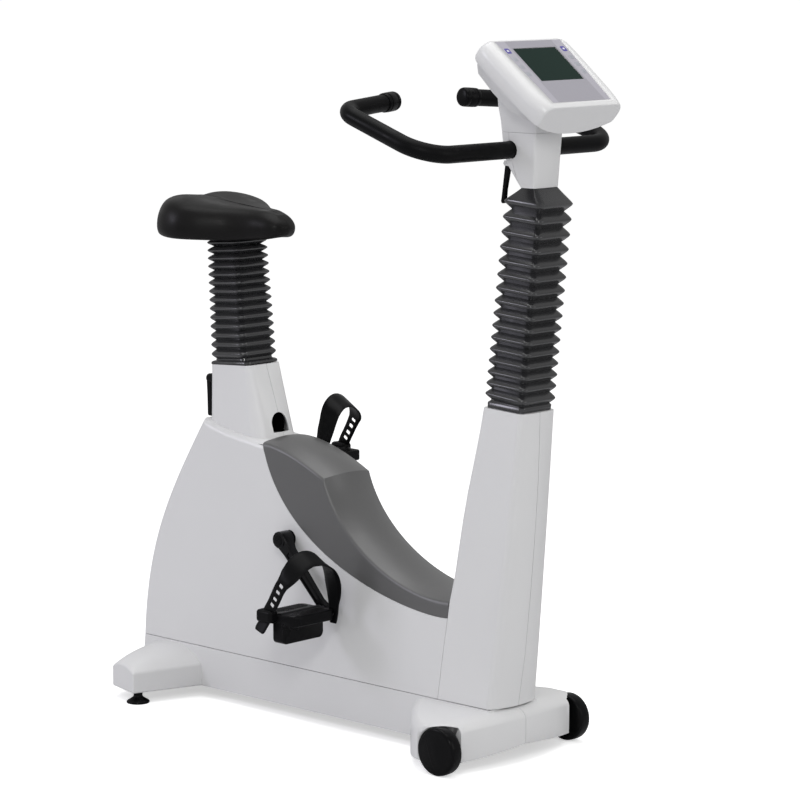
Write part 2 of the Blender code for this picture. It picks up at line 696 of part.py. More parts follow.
def drive_belt():
    """An open loop of belt: two arcs joined by their outer tangents."""
    span = FLYWHEEL_AXLE - CRANK_AXLE
    slope = atan2(span.z, span.x)
    large = PULLEY_RADIUS + BELT_CLEARANCE
    small = DRIVEN_RADIUS + BELT_CLEARANCE
    wrap = acos((large - small) / hypot(span.x, span.z))

    def loop(extra):
        upper = degrees(slope + wrap)
        lower = degrees(slope - wrap)
        large_arc = arc((CRANK_AXLE.x, CRANK_AXLE.z), large + extra, upper, lower + 360, 22)
        return large_arc + arc((FLYWHEEL_AXLE.x, FLYWHEEL_AXLE.z), small + extra, lower, upper, 6)

    outer = loop(BELT_THICKNESS)
    inner = loop(0)
    rings = [[(x, BELT_LOW_Y, z) for x, z in outer], [(x, BELT_HIGH_Y, z) for x, z in outer],
             [(x, BELT_HIGH_Y, z) for x, z in inner], [(x, BELT_LOW_Y, z) for x, z in inner]]
    return to_object("drive_belt", ring_solid(rings, closed_loop=True), BELT_RUBBER)


def flywheel():
    profile = [(-0.012, 0.0078), (-0.012, 0.020), (-0.006, 0.024), (-0.006, 0.064), (-0.012, 0.068),
               (-0.012, 0.090)]
    profile += [(-y, r) for y, r in reversed(profile)]
    centre = FLYWHEEL_AXLE + Vector((0, -0.013, 0))
    return to_object("flywheel", turned(profile, 24, centre, (0, 1, 0)), CAST_IRON, FLYWHEEL_AXLE)


def flywheel_shaft():
    """The shaft with its small grooved pulley."""
    profile = [(-0.0555, 0), (-0.0555, 0.0074), (0.0420, 0.0074), (0.0420, 0.0195), (0.0441, 0.0195),
               (0.0443, DRIVEN_RADIUS), (0.0557, DRIVEN_RADIUS), (0.0559, 0.0195), (0.0580, 0.0195),
               (0.0580, 0)]
    shaft = turned(profile, SHAFT_SIDES, FLYWHEEL_AXLE, (0, 1, 0))
    return to_object("flywheel_shaft", shaft, BRIGHT_STEEL, FLYWHEEL_AXLE)


def brake_magnet():
    """A yoke that straddles the flywheel's rim, on a foot that stands on the spine."""
    yoke = to_object("brake_magnet", block((0.172, -0.041, 0.168), (0.214, 0.015, 0.236)), FRAME_STEEL)
    slot = cylinder(0.0925, (0.100, -0.0275, 0.205), (0.100, 0.0015, 0.205), 32)
    foot = block((0.186, -0.020, 0.0768), (0.208, 0.000, 0.175))
    join(yoke, foot)
    return cut(yoke, slot)


def control_box():
    """The power supply and brake controller in its sheet box, on the spine behind the seat tube."""
    box = to_object("control_box", block((-0.455, -0.048, 0.0768), (-0.335, 0.048, 0.205)), FRAME_STEEL)
    bevel_all(box, 0.004)
    fins = [block((-0.440 + 0.018 * k, -0.040, 0.200), (-0.432 + 0.018 * k, 0.040, 0.216)) for k in range(5)]
    return join(box, *fins)


def bevel_all(piece, width, segments=1):
    bm = bmesh.new()
    bm.from_mesh(piece.data)
    bmesh.ops.bevel(bm, geom=list(bm.edges), offset=width, segments=segments, profile=0.5, affect="EDGES")
    bm.to_mesh(piece.data)
    bm.free()
    piece.data.shade_smooth()
    piece.data.set_sharp_from_angle(angle=radians(35))
    return piece


# Crank arms: a boss on the square, a tapered grooved arm, and an eye for the pedal
ARM_INNER_Y = 0.0725
ARM_OUTER_Y = 0.0990
EYE_INNER_Y = 0.0860


def arm_bore(centre, side, radius, inner_y, outer_y, steps):
    """A round bar along Y between two distances from the middle plane."""
    inner = centre + Vector((0, side * inner_y, 0))
    outer = centre + Vector((0, side * outer_y, 0))
    return cylinder(radius, inner, outer, steps)


def crank_arm(side, name):
    ahead = -side * Vector((cos(CRANK_ANGLE), 0, sin(CRANK_ANGLE)))
    across = Vector((-ahead.z, 0, ahead.x))

    def slab(stations):
        """Sections along the arm: (distance, half height, inner y, outer y)."""
        rings = []
        for distance, half, inner, outer in stations:
            centre = CRANK_AXLE + ahead * distance
            edge = 0.0025
            outline = [(-half, inner), (half, inner), (half, outer - edge), (half - edge, outer),
                       (edge - half, outer), (-half, outer - edge)]
            rings.append([centre + across * h + Vector((0, side * y, 0)) for h, y in outline])
        return ring_solid(rings)

    boss_start = CRANK_AXLE + Vector((0, side * (HOUSING_HALF + 0.0015), 0))
    boss_profile = [(0, 0), (0, 0.0145), (0.0045, 0.0165), (0.0285, 0.0165), (0.0305, 0.0150), (0.0305, 0)]
    arm = to_object(name, turned(boss_profile, 14, boss_start, (0, side, 0)), BLACK_PLASTIC, CRANK_AXLE)
    stations = [(0.006, 0.0150, 0.0735, 0.0970), (0.030, 0.0118, 0.0800, 0.0972),
                (0.080, 0.0102, 0.0835, 0.0980), (0.150, 0.0090, 0.0862, 0.0988),
                (0.164, 0.0120, 0.0864, ARM_OUTER_Y)]
    eye_centre = CRANK_AXLE + ahead * CRANK_ARM
    eye = arm_bore(eye_centre, side, 0.0135, EYE_INNER_Y, ARM_OUTER_Y, 14)
    in_place(arm, [slab(stations), eye], join)
    groove = slab([(0.034, 0.0050, 0.0950, 0.12), (0.148, 0.0038, 0.0960, 0.12)])
    square = Vector((SQUARE_HALF + GAP, 0, SQUARE_HALF + GAP))
    low_y, high_y = sorted((side * 0.05, side * 0.0928))
    seat = block(CRANK_AXLE - square + Vector((0, low_y, 0)), CRANK_AXLE + square + Vector((0, high_y, 0)))
    round_seat = arm_bore(CRANK_AXLE, side, AXLE_RADIUS + GAP, 0.0600, 0.0683, SHAFT_SIDES)
    cap_seat = arm_bore(CRANK_AXLE, side, 0.0112, 0.0945, 0.1200, 12)
    thread = arm_bore(eye_centre, side, 0.0072, 0.0800, 0.1100, 12)
    return in_place(arm, [groove, seat, round_seat, cap_seat, thread], cut)


def crank_cap(side, name):
    """The round plug over the axle bolt, with a coin slot."""
    start = CRANK_AXLE + Vector((0, side * 0.0948, 0))
    profile = [(0, 0), (0, 0.0109), (0.0040, 0.0109), (0.0052, 0.0095), (0.0055, 0)]
    cap = to_object(name, turned(profile, 12, start, (0, side, 0)), BLACK_PLASTIC, CRANK_AXLE)
    low_y, high_y = sorted((side * 0.0992, side * 0.11))
    half = Vector((0.0045, 0, 0.0008))
    slot = block(CRANK_AXLE - half + Vector((0, low_y, 0)), CRANK_AXLE + half + Vector((0, high_y, 0)))
    return in_place(cap, [slot], cut)


def pedal_spindle(side, name):
    """Threaded into the arm's eye, with a flange, and a journal that the pedal turns on."""
    start = (PEDAL_RIGHT_SPINDLE if side == RIGHT else PEDAL_LEFT_SPINDLE) + Vector((0, side * 0.0865, 0))
    profile = [(0, 0), (0, 0.0069), (0.0128, 0.0069), (0.0128, 0.0085), (0.0165, 0.0085), (0.0175, 0.0060),
               (0.0900, 0.0045), (0.1070, 0.0045), (0.1070, 0)]
    return to_object(name, turned(profile, 12, start, (0, side, 0)), BRIGHT_STEEL, CRANK_AXLE)


# Pedals: a tread block with a balance weight below it, a strap stud and a buckle loop
PEDAL_INNER = 0.1075
PEDAL_OUTER = 0.2150
STRAP_THICKNESS = 0.0030


def pedal(side, name):
    spindle = PEDAL_RIGHT_SPINDLE if side == RIGHT else PEDAL_LEFT_SPINDLE

    def across(bm):
        """Mirror a shape drawn for +Y to the pedal's own side and put it on its spindle."""
        if side == RIGHT:
            bm.transform(Matrix.Scale(-1, 4, (0, 1, 0)))
            bmesh.ops.reverse_faces(bm, faces=bm.faces)
        bm.transform(Matrix.Translation((spindle.x, 0, spindle.z)))
        return bm

    plan = [(0.044, PEDAL_INNER), (0.045, 0.112), (0.046, 0.160), (0.043, 0.210), (0.038, PEDAL_OUTER),
            (-0.036, PEDAL_OUTER), (-0.043, 0.211), (-0.046, 0.200), (-0.046, 0.122), (-0.043, 0.112),
            (-0.036, PEDAL_INNER)]
    tread = prism(plan, -0.0105, 0.0105, "Z")
    body = to_object(name, across(tread), BLACK_PLASTIC, spindle)
    weight_outline = [(0.1085, -0.0080), (0.1085, -0.0360)] + arc((0.1185, -0.0370), 0.0100, 180, 270, 4)
    weight_outline += arc((0.2050, -0.0370), 0.0100, 270, 360, 4) + [(0.2150, -0.0080)]
    weight = prism(weight_outline, -0.0125, 0.0085, "X")
    hub = cylinder(0.0128, (0, 0.1078, 0), (0, 0.2148, 0), 12)
    stud = cylinder(0.0028, (0.034, 0.1030, 0.000), (0.034, 0.1100, 0.000), 10)
    buckle_outer = block((-0.0445, 0.2120, -0.0090), (-0.0090, 0.2345, 0.0090))
    in_place(body, [across(weight), across(hub), across(stud), across(buckle_outer)], join)
    buckle_slot = block((-0.0410, 0.2215, -0.02), (-0.0125, 0.2290, 0.02))
    bore = cylinder(0.0065, (0, 0.10, 0), (0, 0.1950, 0), 12)
    tread_cuts = []
    for k in range(4):
        groove_y = 0.128 + 0.022 * k
        tread_cuts.append(block((-0.05, groove_y, 0.0088), (-0.018, groove_y + 0.006, 0.02)))
        tread_cuts.append(block((0.018, groove_y, 0.0088), (0.05, groove_y + 0.006, 0.02)))
    in_place(body, [across(buckle_slot), across(bore)] + [across(tool) for tool in tread_cuts], cut)
    return body


STRAP_ROUTE = ((0.034, 0.1048, -0.018), (0.034, 0.1046, 0.020), (0.033, 0.1050, 0.058),
               (0.028, 0.1180, 0.094), (0.016, 0.1420, 0.1105), (0.003, 0.1680, 0.1115),
               (-0.009, 0.1920, 0.094), (-0.018, 0.2090, 0.062), (-0.024, 0.2200, 0.030),
               (-0.0265, 0.2250, 0.008), (-0.0270, 0.2255, -0.010), (-0.0275, 0.2290, -0.0380))
STRAP_WIDTHS = ((0.0, 0.034), (0.09, 0.040), (0.28, 0.044), (0.50, 0.042), (0.68, 0.030), (0.80, 0.026),
                (1.0, 0.026))


def smooth_route(points, steps):
    """A smooth curve through points, read at even shares between them."""
    route = []
    padded = [points[0], *points, points[-1]]
    for before, start, end, after in zip(padded, padded[1:], padded[2:], padded[3:]):
        before, start, end, after = (Vector(p) for p in (before, start, end, after))
        for step in range(steps):
            t = step / steps
            pull = (end - before) * t
            bend = (2 * before - 5 * start + 4 * end - after) * t ** 2
            twist = (3 * start - 3 * end + after - before) * t ** 3
            route.append(0.5 * (2 * start + pull + bend + twist))
    route.append(Vector(points[-1]))
    return route


def pedal_strap(side, name):
    """A moulded band from the inner stud over the foot and down through the buckle."""
    spindle = PEDAL_RIGHT_SPINDLE if side == RIGHT else PEDAL_LEFT_SPINDLE
    route = smooth_route(STRAP_ROUTE, 2)
    lengths = [0.0]
    for before, after in zip(route, route[1:]):
        lengths.append(lengths[-1] + (after - before).length)
    rings = []
    hole_tools = []
    hole_places = [0.735 + 0.045 * k for k in range(4)]
    for index, point in enumerate(route):
        along = (route[min(index + 1, len(route) - 1)] - route[max(index - 1, 0)]).normalized()
        wide = Vector((1, 0, 0)) - along * along.x
        wide.normalize()
        thick = along.cross(wide)
        share = lengths[index] / lengths[-1]
        half = read_at(STRAP_WIDTHS, share) / 2 * (0.72 if index in (0, len(route) - 1) else 1)
        depth = STRAP_THICKNESS / 2
        section = [(half, 0), (half - 0.001, depth), (0.001 - half, depth), (-half, 0),
                   (0.001 - half, -depth), (half - 0.001, -depth)]
        rings.append([point + wide * w + thick * h for w, h in section])
        while hole_places and share >= hole_places[0]:
            hole_places.pop(0)
            hole = block((-0.0042, -0.0022, -0.006), (0.0042, 0.0022, 0.006))
            turn = Matrix((wide, along, thick)).transposed().to_4x4()
            hole.transform(Matrix.Translation(point) @ turn)
            hole_tools.append(hole)
    strap = ring_solid(rings)
    stud_hole = cylinder(0.0033, (0.034, 0.09, 0.000), (0.034, 0.12, 0.000), 10)
    tools = hole_tools + [stud_hole]
    for bm in [strap] + tools:
        if side == RIGHT:
            bm.transform(Matrix.Scale(-1, 4, (0, 1, 0)))
        bmesh.ops.recalc_face_normals(bm, faces=bm.faces)
        bm.transform(Matrix.Translation((spindle.x, 0, spindle.z)))
    band = to_object(name, strap, BLACK_PLASTIC, spindle)
    return in_place(band, tools, cut)


# Sliding posts, gas springs and their ribbed bellows
def leaning_cylinder(base, axis, radius, low_z, high_z, steps):
    return cylinder(radius, axis_point(base, axis, low_z), axis_point(base, axis, high_z), steps)


def sliding_post(name, base, axis, low_z, bridge_z, high_z):
    """A square tube with a bridge inside, which the gas spring's rod pushes on."""
    post = to_object(name, slanted_tube(base, axis, POST_HALF, low_z, high_z), BRIGHT_STEEL, base)
    lower = slanted_tube(base, axis, POST_BORE_HALF, low_z - 0.02, bridge_z)
    upper = slanted_tube(base, axis, POST_BORE_HALF, bridge_z + 0.008, high_z + 0.02)
    return in_place(post, [lower, upper], cut)


def gas_spring(name, base, axis, high_z):
    """The pressure tube, standing in the frame's tube, with a bore for its rod."""
    tube = to_object(name, leaning_cylinder(base, axis, 0.011, 0.0878, high_z, 12), BLACK_PLASTIC)
    return cut(tube, leaning_cylinder(base, axis, 0.0085, 0.095, high_z - 0.006, 12),
               leaning_cylinder(base, axis, 0.0045, high_z - 0.02, high_z + 0.02, 10))


def gas_rod(name, base, axis, low_z, high_z):
    """The rod, with its piston inside the pressure tube."""
    rod = to_object(name, leaning_cylinder(base, axis, 0.004, low_z, high_z - GAP, 10), BRIGHT_STEEL, base)
    piston = leaning_cylinder(base, axis, 0.0080, low_z, low_z + 0.008, 12)
    return in_place(rod, [piston], join)


def bellows(name, base, axis, levels, bore, lid=None):
    """A ribbed square hose: (distance, half depth, half width, corner) from end to end.

    A lid gives the height of the surface that its collar lies on, where that isn't square
    to the axis.
    """
    side = Vector((axis.z, 0, -axis.x))
    collar_end = 0.015

    def ring(distance, half_x, half_y, corner):
        outline = rounded_box(-half_x, half_x, half_y, half_y, corner, 0, 2, 1)
        points = [base + axis * distance + side * x + Vector((0, y, 0)) for x, y in outline]
        if lid and distance < collar_end:
            points = [point + axis * ((lid(point.x) + distance - point.z) / axis.z) for point in points]
        return points

    rings = [ring(*level) for level in levels]
    low, high = levels[0][0], levels[-1][0]
    bore_corner = 0.008
    rings += [ring(mix(high, low, share), bore, bore, bore_corner) for share in (0, 0.5, 1)]
    return to_object(name, ring_solid(rings, closed_loop=True), BELLOWS_RUBBER)


SEAT_BELLOWS_LENGTH = 0.2395
SEAT_RIBS = 14
SEAT_COLLAR = 0.0055


def seat_bellows():
    """Rounded ribs whose width shrinks a little towards the saddle."""
    levels = [(GAP, 0.0525, 0.0430, 0.010), (SEAT_COLLAR, 0.0520, 0.0425, 0.010),
              (SEAT_COLLAR + 0.001, 0.0400, 0.0375, 0.012)]
    pitch = (SEAT_BELLOWS_LENGTH - SEAT_COLLAR - 0.006) / SEAT_RIBS
    for rib in range(SEAT_RIBS):
        share = (rib + 0.5) / SEAT_RIBS
        crest = mix(0.0460, 0.0425, share)
        root = mix(0.0375, 0.0342, share)
        start = SEAT_COLLAR + 0.003 + rib * pitch
        levels.append((start + 0.05 * pitch, root, root, 0.012))
        levels.append((start + 0.55 * pitch, crest, crest, 0.014))
    levels.append((SEAT_BELLOWS_LENGTH, 0.0342, 0.0342, 0.012))
    return bellows("seat_bellows", SEAT_AXIS_POINT - SEAT_AXIS * 0.0052, SEAT_AXIS, levels, 0.0290)


COLUMN_BELLOWS_LENGTH = 0.4035
COLUMN_RIBS = 16


def column_bellows():
    """Sharp folded ribs, wider apart towards the handlebar."""
    levels = [(GAP, 0.0440, 0.0430, 0.008), (0.010, 0.0445, 0.0430, 0.008), (0.014, 0.0350, 0.0350, 0.010)]
    start = 0.014
    spread = [mix(0.0208, 0.0274, rib / (COLUMN_RIBS - 1)) for rib in range(COLUMN_RIBS)]
    stretch = (COLUMN_BELLOWS_LENGTH - start - 0.004) / sum(spread)
    for rib, natural in enumerate(spread):
        pitch = natural * stretch
        crest = mix(0.0440, 0.0450, rib / (COLUMN_RIBS - 1))
        if rib == COLUMN_RIBS - 1:
            crest = 0.0460
        levels.append((start + 0.50 * pitch, crest, crest, 0.0045))
        start += pitch
        root = 0.0350 if rib < COLUMN_RIBS - 1 else 0.0310
        levels.append((start, root, root, 0.010))
    levels.append((COLUMN_BELLOWS_LENGTH, 0.0290, 0.0310, 0.010))
    base = axis_point(COLUMN_AXIS_POINT, COLUMN_AXIS, column_lid(COLUMN_AXIS_POINT.x))
    return bellows("column_bellows", base, COLUMN_AXIS, levels, 0.0275, column_lid)


# Saddle: clamp on the post, moulded base plate and crowned cushion
SADDLE_BASE_Z = 0.9190
SADDLE_PLAN = ((-0.452, 0.000), (-0.462, 0.022), (-0.471, 0.050), (-0.4665, 0.080), (-0.448, 0.106),
               (-0.418, 0.123), (-0.385, 0.1235), (-0.354, 0.111), (-0.325, 0.090), (-0.298, 0.068),
               (-0.268, 0.051), (-0.240, 0.043), (-0.216, 0.037), (-0.199, 0.025), (-0.191, 0.000))


def saddle_outline(inset, steps=2):
    """The whole plan outline of the saddle, drawn in by an inset."""
    half = [(x, y) for x, y, _ in smooth_route([(x, y, 0) for x, y in SADDLE_PLAN], steps)]
    points = half + [(x, -y) for x, y in reversed(half[1:-1])]
    drawn = []
    for index, (x, y) in enumerate(points):
        before = points[index - 1]
        after = points[(index + 1) % len(points)]
        run = (after[0] - before[0], after[1] - before[1])
        length = hypot(*run)
        drawn.append((x + run[1] / length * inset, y - run[0] / length * inset))
    return drawn


def saddle_height(x, y):
    """Height of the cushion's top: two thigh lobes at the rear, a channel, and a lower nose."""
    along = read_at(((-0.48, 0.985), (-0.44, 1.000), (-0.40, 1.005), (-0.34, 0.998), (-0.29, 0.988),
                     (-0.25, 0.982), (-0.22, 0.976), (-0.19, 0.958)), x)
    rear = min(max((-0.27 - x) / 0.09, 0.0), 1.0)
    lobes = 0.012 * rear * sin(min(abs(y) / 0.062, 2.0) * pi / 2) ** 2
    return along + lobes


def saddle_pad():
    outer = saddle_outline(0)
    spine = []
    for x, y in outer:
        if x < -0.40:
            spine.append((-0.405 + (x + 0.405) * 0.25, y * 0.45))
        else:
            spine.append((min(x, -0.235) * 0.97 - 0.010, y * 0.12))
    rings = []
    underside = SADDLE_BASE_Z + 0.0063
    rings.append([(x, y, underside) for x, y in saddle_outline(0.0200)])
    rings.append([(x, y, underside - 0.0030) for x, y in saddle_outline(0.0120)])
    for inset, rise in ((0.0030, 0.12), (0.0, 0.32), (0.0045, 0.62)):
        ring = []
        for x, y in saddle_outline(inset):
            top = saddle_height(x, y)
            ring.append((x, y, mix(underside - 0.003, top - 0.006, rise)))
        rings.append(ring)
    for inward, sink in ((0.13, 0.0125), (0.26, 0.0050), (0.45, 0.0010), (0.70, 0.0)):
        ring = []
        for (x, y), (sx, sy) in zip(outer, spine):
            px, py = mix(x, sx, inward), mix(y, sy, inward)
            ring.append((px, py, saddle_height(px, py) - sink))
        rings.append(ring)
    return to_object("saddle_pad", ring_solid(rings), SADDLE_COVER, SEAT_AXIS_POINT, 60)


def saddle_base():
    """The moulded plate inside the cushion's lower edge."""
    plate = [(x, y, SADDLE_BASE_Z) for x, y in saddle_outline(0.0260, 1)]
    upper = [(x, y, SADDLE_BASE_Z + 0.0060) for x, y in saddle_outline(0.0225, 1)]
    return to_object("saddle_base", ring_solid([plate, upper]), BLACK_PLASTIC, SEAT_AXIS_POINT)


def saddle_clamp():
    """A block plugged into the post, with the flange that the base plate is screwed to."""
    plug = slanted_tube(SEAT_AXIS_POINT, SEAT_AXIS, POST_BORE_HALF - GAP, 0.870, 0.9120)
    clamp = to_object("saddle_clamp", plug, FRAME_STEEL, SEAT_AXIS_POINT)
    top = axis_point(SEAT_AXIS_POINT, SEAT_AXIS, 0.91)
    flange = block((top.x - 0.026, -0.024, 0.9078), (top.x + 0.026, 0.024, SADDLE_BASE_Z - GAP))
    return in_place(clamp, [flange], join)


# Head of the handlebar column: two shells around the bar's clamp
BAR_RADIUS = 0.0160
HEAD_REAR = ((1.064, 0.4335), (1.069, 0.4320), (1.089, 0.4150), (1.109, 0.4000), (1.130, 0.3935),
             (1.152, 0.3900), (1.170, 0.3890))
HEAD_FRONT = ((1.064, 0.4645), (1.170, 0.4715))
HEAD_SEAM = ((1.05, 0.4380), (1.069, 0.4310), (1.112, 0.4160), (1.170, 0.4065), (1.19, 0.4050))


def head_ring(z, inset):
    rear = read_at(HEAD_REAR, z) + inset
    front = read_at(HEAD_FRONT, z) - inset
    half = mix(0.0325, 0.0350, (z - 1.066) / 0.099) - inset
    return [(x, y, z) for x, y in rounded_box(rear, front, half, half, 0.0062 - inset / 2, 0.003, 2, 4)]


def head_shells():
    levels = (1.066, 1.089, 1.109, 1.130, HEAD_TOP_Z - GAP)
    outer = [head_ring(z, 0) for z in levels]
    inner = [head_ring(z, 0.0028) for z in (1.050, 1.066, 1.089, 1.109, 1.130, 1.1618)]
    bar_hole = cylinder(0.0168, (CROSSBAR.x, -0.06, CROSSBAR.z), (CROSSBAR.x, 0.06, CROSSBAR.z), 16)
    front = to_object("head_shell_front", ring_solid(outer), WHITE, COLUMN_AXIS_POINT)
    rear = to_object("head_shell_rear", ring_solid(outer), WHITE, COLUMN_AXIS_POINT)
    behind = [(x + GAP / 2, z) for z, x in HEAD_SEAM] + [(0.35, 1.19), (0.35, 1.05)]
    ahead = [(x - GAP / 2, z) for z, x in HEAD_SEAM] + [(0.55, 1.19), (0.55, 1.05)]
    swivel_hole = cylinder(0.0178, (SWIVEL_AXIS_X, 0, 1.15), (SWIVEL_AXIS_X, 0, 1.18), 20)
    in_place(front, [ring_solid(inner), bar_hole.copy(), swivel_hole, prism(behind, -0.1, 0.1, "Y")], cut)
    lever_slot = block((0.36, -0.0265, 1.092), (0.41, -0.0135, 1.1175))
    in_place(rear, [ring_solid(inner), bar_hole, prism(ahead, -0.1, 0.1, "Y"), lever_slot], cut)
    ear = [(0.4020, 1.1140), (0.3925, 1.1130), (0.3900, 1.1080), (0.3925, 1.1035), (0.4045, 1.1035)]
    pin_start = LEVER_PIVOT + Vector((0, -0.0280, 0))
    pin = cylinder(LEVER_PIN_RADIUS, pin_start, pin_start + Vector((0, 0.0160, 0)), 10)
    ears = [prism(ear, -0.0285, -0.0265, "Y"), prism(ear, -0.0135, -0.0115, "Y")]
    in_place(rear, ears + [pin], join)
    return front, rear


LEVER_PIVOT = Vector((0.3945, 0.0, 1.1080))
LEVER_PIN_RADIUS = 0.0025


def handlebar_clamp():
    """A half shell that holds the crossbar, on a neck that plugs into the column post."""
    plug = slanted_tube(COLUMN_AXIS_POINT, COLUMN_AXIS, POST_BORE_HALF - GAP, 1.000, 1.0530)
    clamp = to_object("handlebar_clamp", plug, FRAME_STEEL, COLUMN_AXIS_POINT)
    neck = block((0.4385, -0.0180, 1.0500), (0.4595, 0.0180, 1.1050))
    jaw = [(0.4200, 1.0980), (0.4440, 1.0980), (0.4440, 1.1525), (0.4085, 1.1525), (0.4085, 1.1080)]
    in_place(clamp, [neck, prism(jaw, -0.0270, 0.0270, "Y")], join)
    across = Vector((0, 0.06, 0))
    return in_place(clamp, [cylinder(BAR_RADIUS + 0.0006, CROSSBAR - across, CROSSBAR + across, 16)], cut)


def handlebar_lever():
    """A flat lever behind the head that hangs from its pivot when the clamp is tight."""
    outline = arc((LEVER_PIVOT.x, LEVER_PIVOT.z), 0.0062, 45, 190, 6)
    outline += [(0.3860, 1.0900), (0.3795, 1.0440)] + arc((0.3826, 1.0385), 0.0042, 170, 350, 5)
    outline += [(0.3890, 1.0600), (0.3970, 1.0980)]
    body = prism(outline, -0.0248, -0.0152, "Y")
    rims = [edge for edge in body.edges if abs(edge.verts[0].co.y - edge.verts[1].co.y) < 1e-7]
    bmesh.ops.bevel(body, geom=rims, offset=0.0012, segments=1, profile=0.5, affect="EDGES")
    lever = to_object("handlebar_lever", body, BLACK_PLASTIC, LEVER_PIVOT)
    across = Vector((0, 0.04, 0))
    eye = cylinder(LEVER_PIN_RADIUS + 0.0005, LEVER_PIVOT - across, LEVER_PIVOT + across, 10)
    return in_place(lever, [eye], cut)


# Seat lever: a clamping handle on a screw through the tower's rear wall


def seat_lever():
    tip = axis_point(SEAT_AXIS_POINT, SEAT_AXIS, SEAT_LEVER_Z).x - POST_HALF - 0.0008
    pivot = Vector((-0.420, 0, SEAT_LEVER_Z))
    profile = [(-0.012, 0), (-0.012, 0.0085), (0.002, 0.0100), (0.016, 0.0100), (0.024, 0.0085)]
    profile += [(0.030, 0.0050), (tip - pivot.x, 0.0050), (tip - pivot.x, 0)]
    lever = to_object("seat_lever", turned(profile, 12, pivot, (1, 0, 0)), BLACK_PLASTIC, pivot)
    grip = [(-0.0075, 0.632), (0.0075, 0.632), (0.0060, 0.600), (0.0052, 0.566)]
    grip += arc((0, 0.5632), 0.0052, 0, -180, 6)[1:] + [(-0.0060, 0.600)]
    return in_place(lever, [prism(grip, -0.4310, -0.4190, "X")], join)


# Handlebar: one bent tube with a sleeve on each end
BAR_CORNERS = ((0.411, 0.258, 1.133), (0.196, 0.247, 1.203), (0.177, 0.090, 1.214))
BAR_BENDS = (0.062, 0.040)


def bar_solid(radius, sides, end_shift):
    """The left half of the bar from the middle outwards, and its mirror image, as one solid."""
    path = rounded_path([CROSSBAR, *BAR_CORNERS], BAR_BENDS, 4)
    path[-1] = path[-1] + (path[-1] - path[-2]).normalized() * end_shift
    left = []
    for point, side, up in path_frames(path, (0, 0, 1)):
        turns = [2 * pi * k / sides for k in range(sides)]
        left.append([point + radius * (cos(turn) * side + sin(turn) * up) for turn in turns])
    right = [[Vector((p.x, -p.y, p.z)) for p in ring] for ring in reversed(left[1:])]
    return ring_solid(right + left)


def handlebar():
    bar = to_object("handlebar", bar_solid(BAR_RADIUS, 12, -0.0040), BAR_COATING, CROSSBAR)
    return in_place(bar, [bar_solid(0.0130, 6, 0.01)], cut)


def grip_sleeve(side, name):
    """A moulded sleeve that closes the end of the bar, with a groove round it."""
    corners = [Vector((x, side * y, z)) for x, y, z in BAR_CORNERS]
    end = corners[2]
    inward = (corners[1] - corners[2]).normalized()
    profile = [(0, 0), (0, 0.0140), (0.0020, 0.0172), (0.0060, 0.0182), (0.0270, 0.0182), (0.0276, 0.0170),
               (0.0292, 0.0170), (0.0298, 0.0180), (0.0350, 0.0178), (0.0365, BAR_RADIUS + 0.0009),
               (0.0037, BAR_RADIUS + 0.0009), (0.0037, 0)]
    return to_object(name, turned(profile, 12, end, inward), BLACK_PLASTIC, CROSSBAR)


# Console: a lower moulding with the swivel neck, a top moulding, a keypad foil and a screen
CONSOLE_REAR_EDGE = Vector((0.411, 0.0, 1.334))
CONSOLE_DOWN = Vector((0.784, 0.0, -0.622)).normalized()
CONSOLE_UP = Vector((0.622, 0.0, 0.784)).normalized()
CONSOLE_NOSE_DROP = 0.0015
CONSOLE_LENGTH = (REACH - CONSOLE_REAR_EDGE.x + CONSOLE_UP.x * CONSOLE_NOSE_DROP) / CONSOLE_DOWN.x
SCREEN_REAR = 0.030
SCREEN_FRONT = 0.119
SCREEN_HALF = 0.058
FOIL_REAR = 0.0110
FOIL_FRONT = 0.1760
FOIL_HALF = 0.0810
SWIVEL = Vector((SWIVEL_AXIS_X, 0, HEAD_TOP_Z))


def on_console(along, across, height):
    return CONSOLE_REAR_EDGE + CONSOLE_DOWN * along + CONSOLE_UP * height + Vector((0, across, 0))


def console_section(along, half, drop_top, drop_side, drop_middle, radius):
    """One cross-section of the top moulding, open below in the middle of its lower edge."""
    right = []
    for step in range(5):
        angle = radians(90 - 22.5 * step)
        right.append((half - radius + radius * cos(angle), -radius * (1 - sin(angle)) - drop_top))
    right.append((half - 0.0015, mix(-radius - drop_top, -drop_side, 0.6)))
    right.append((half - 0.006, -drop_side))
    right.append(((half - 0.006) * 0.62, mix(-drop_side, -drop_middle, 0.68)))
    right.append(((half - 0.006) * 0.30, mix(-drop_side, -drop_middle, 0.93)))
    full = right + [(0.0, -drop_middle)] + [(-y, h) for y, h in reversed(right)] + [(0.0, -drop_top)]
    return [on_console(along, y, h) for y, h in full]


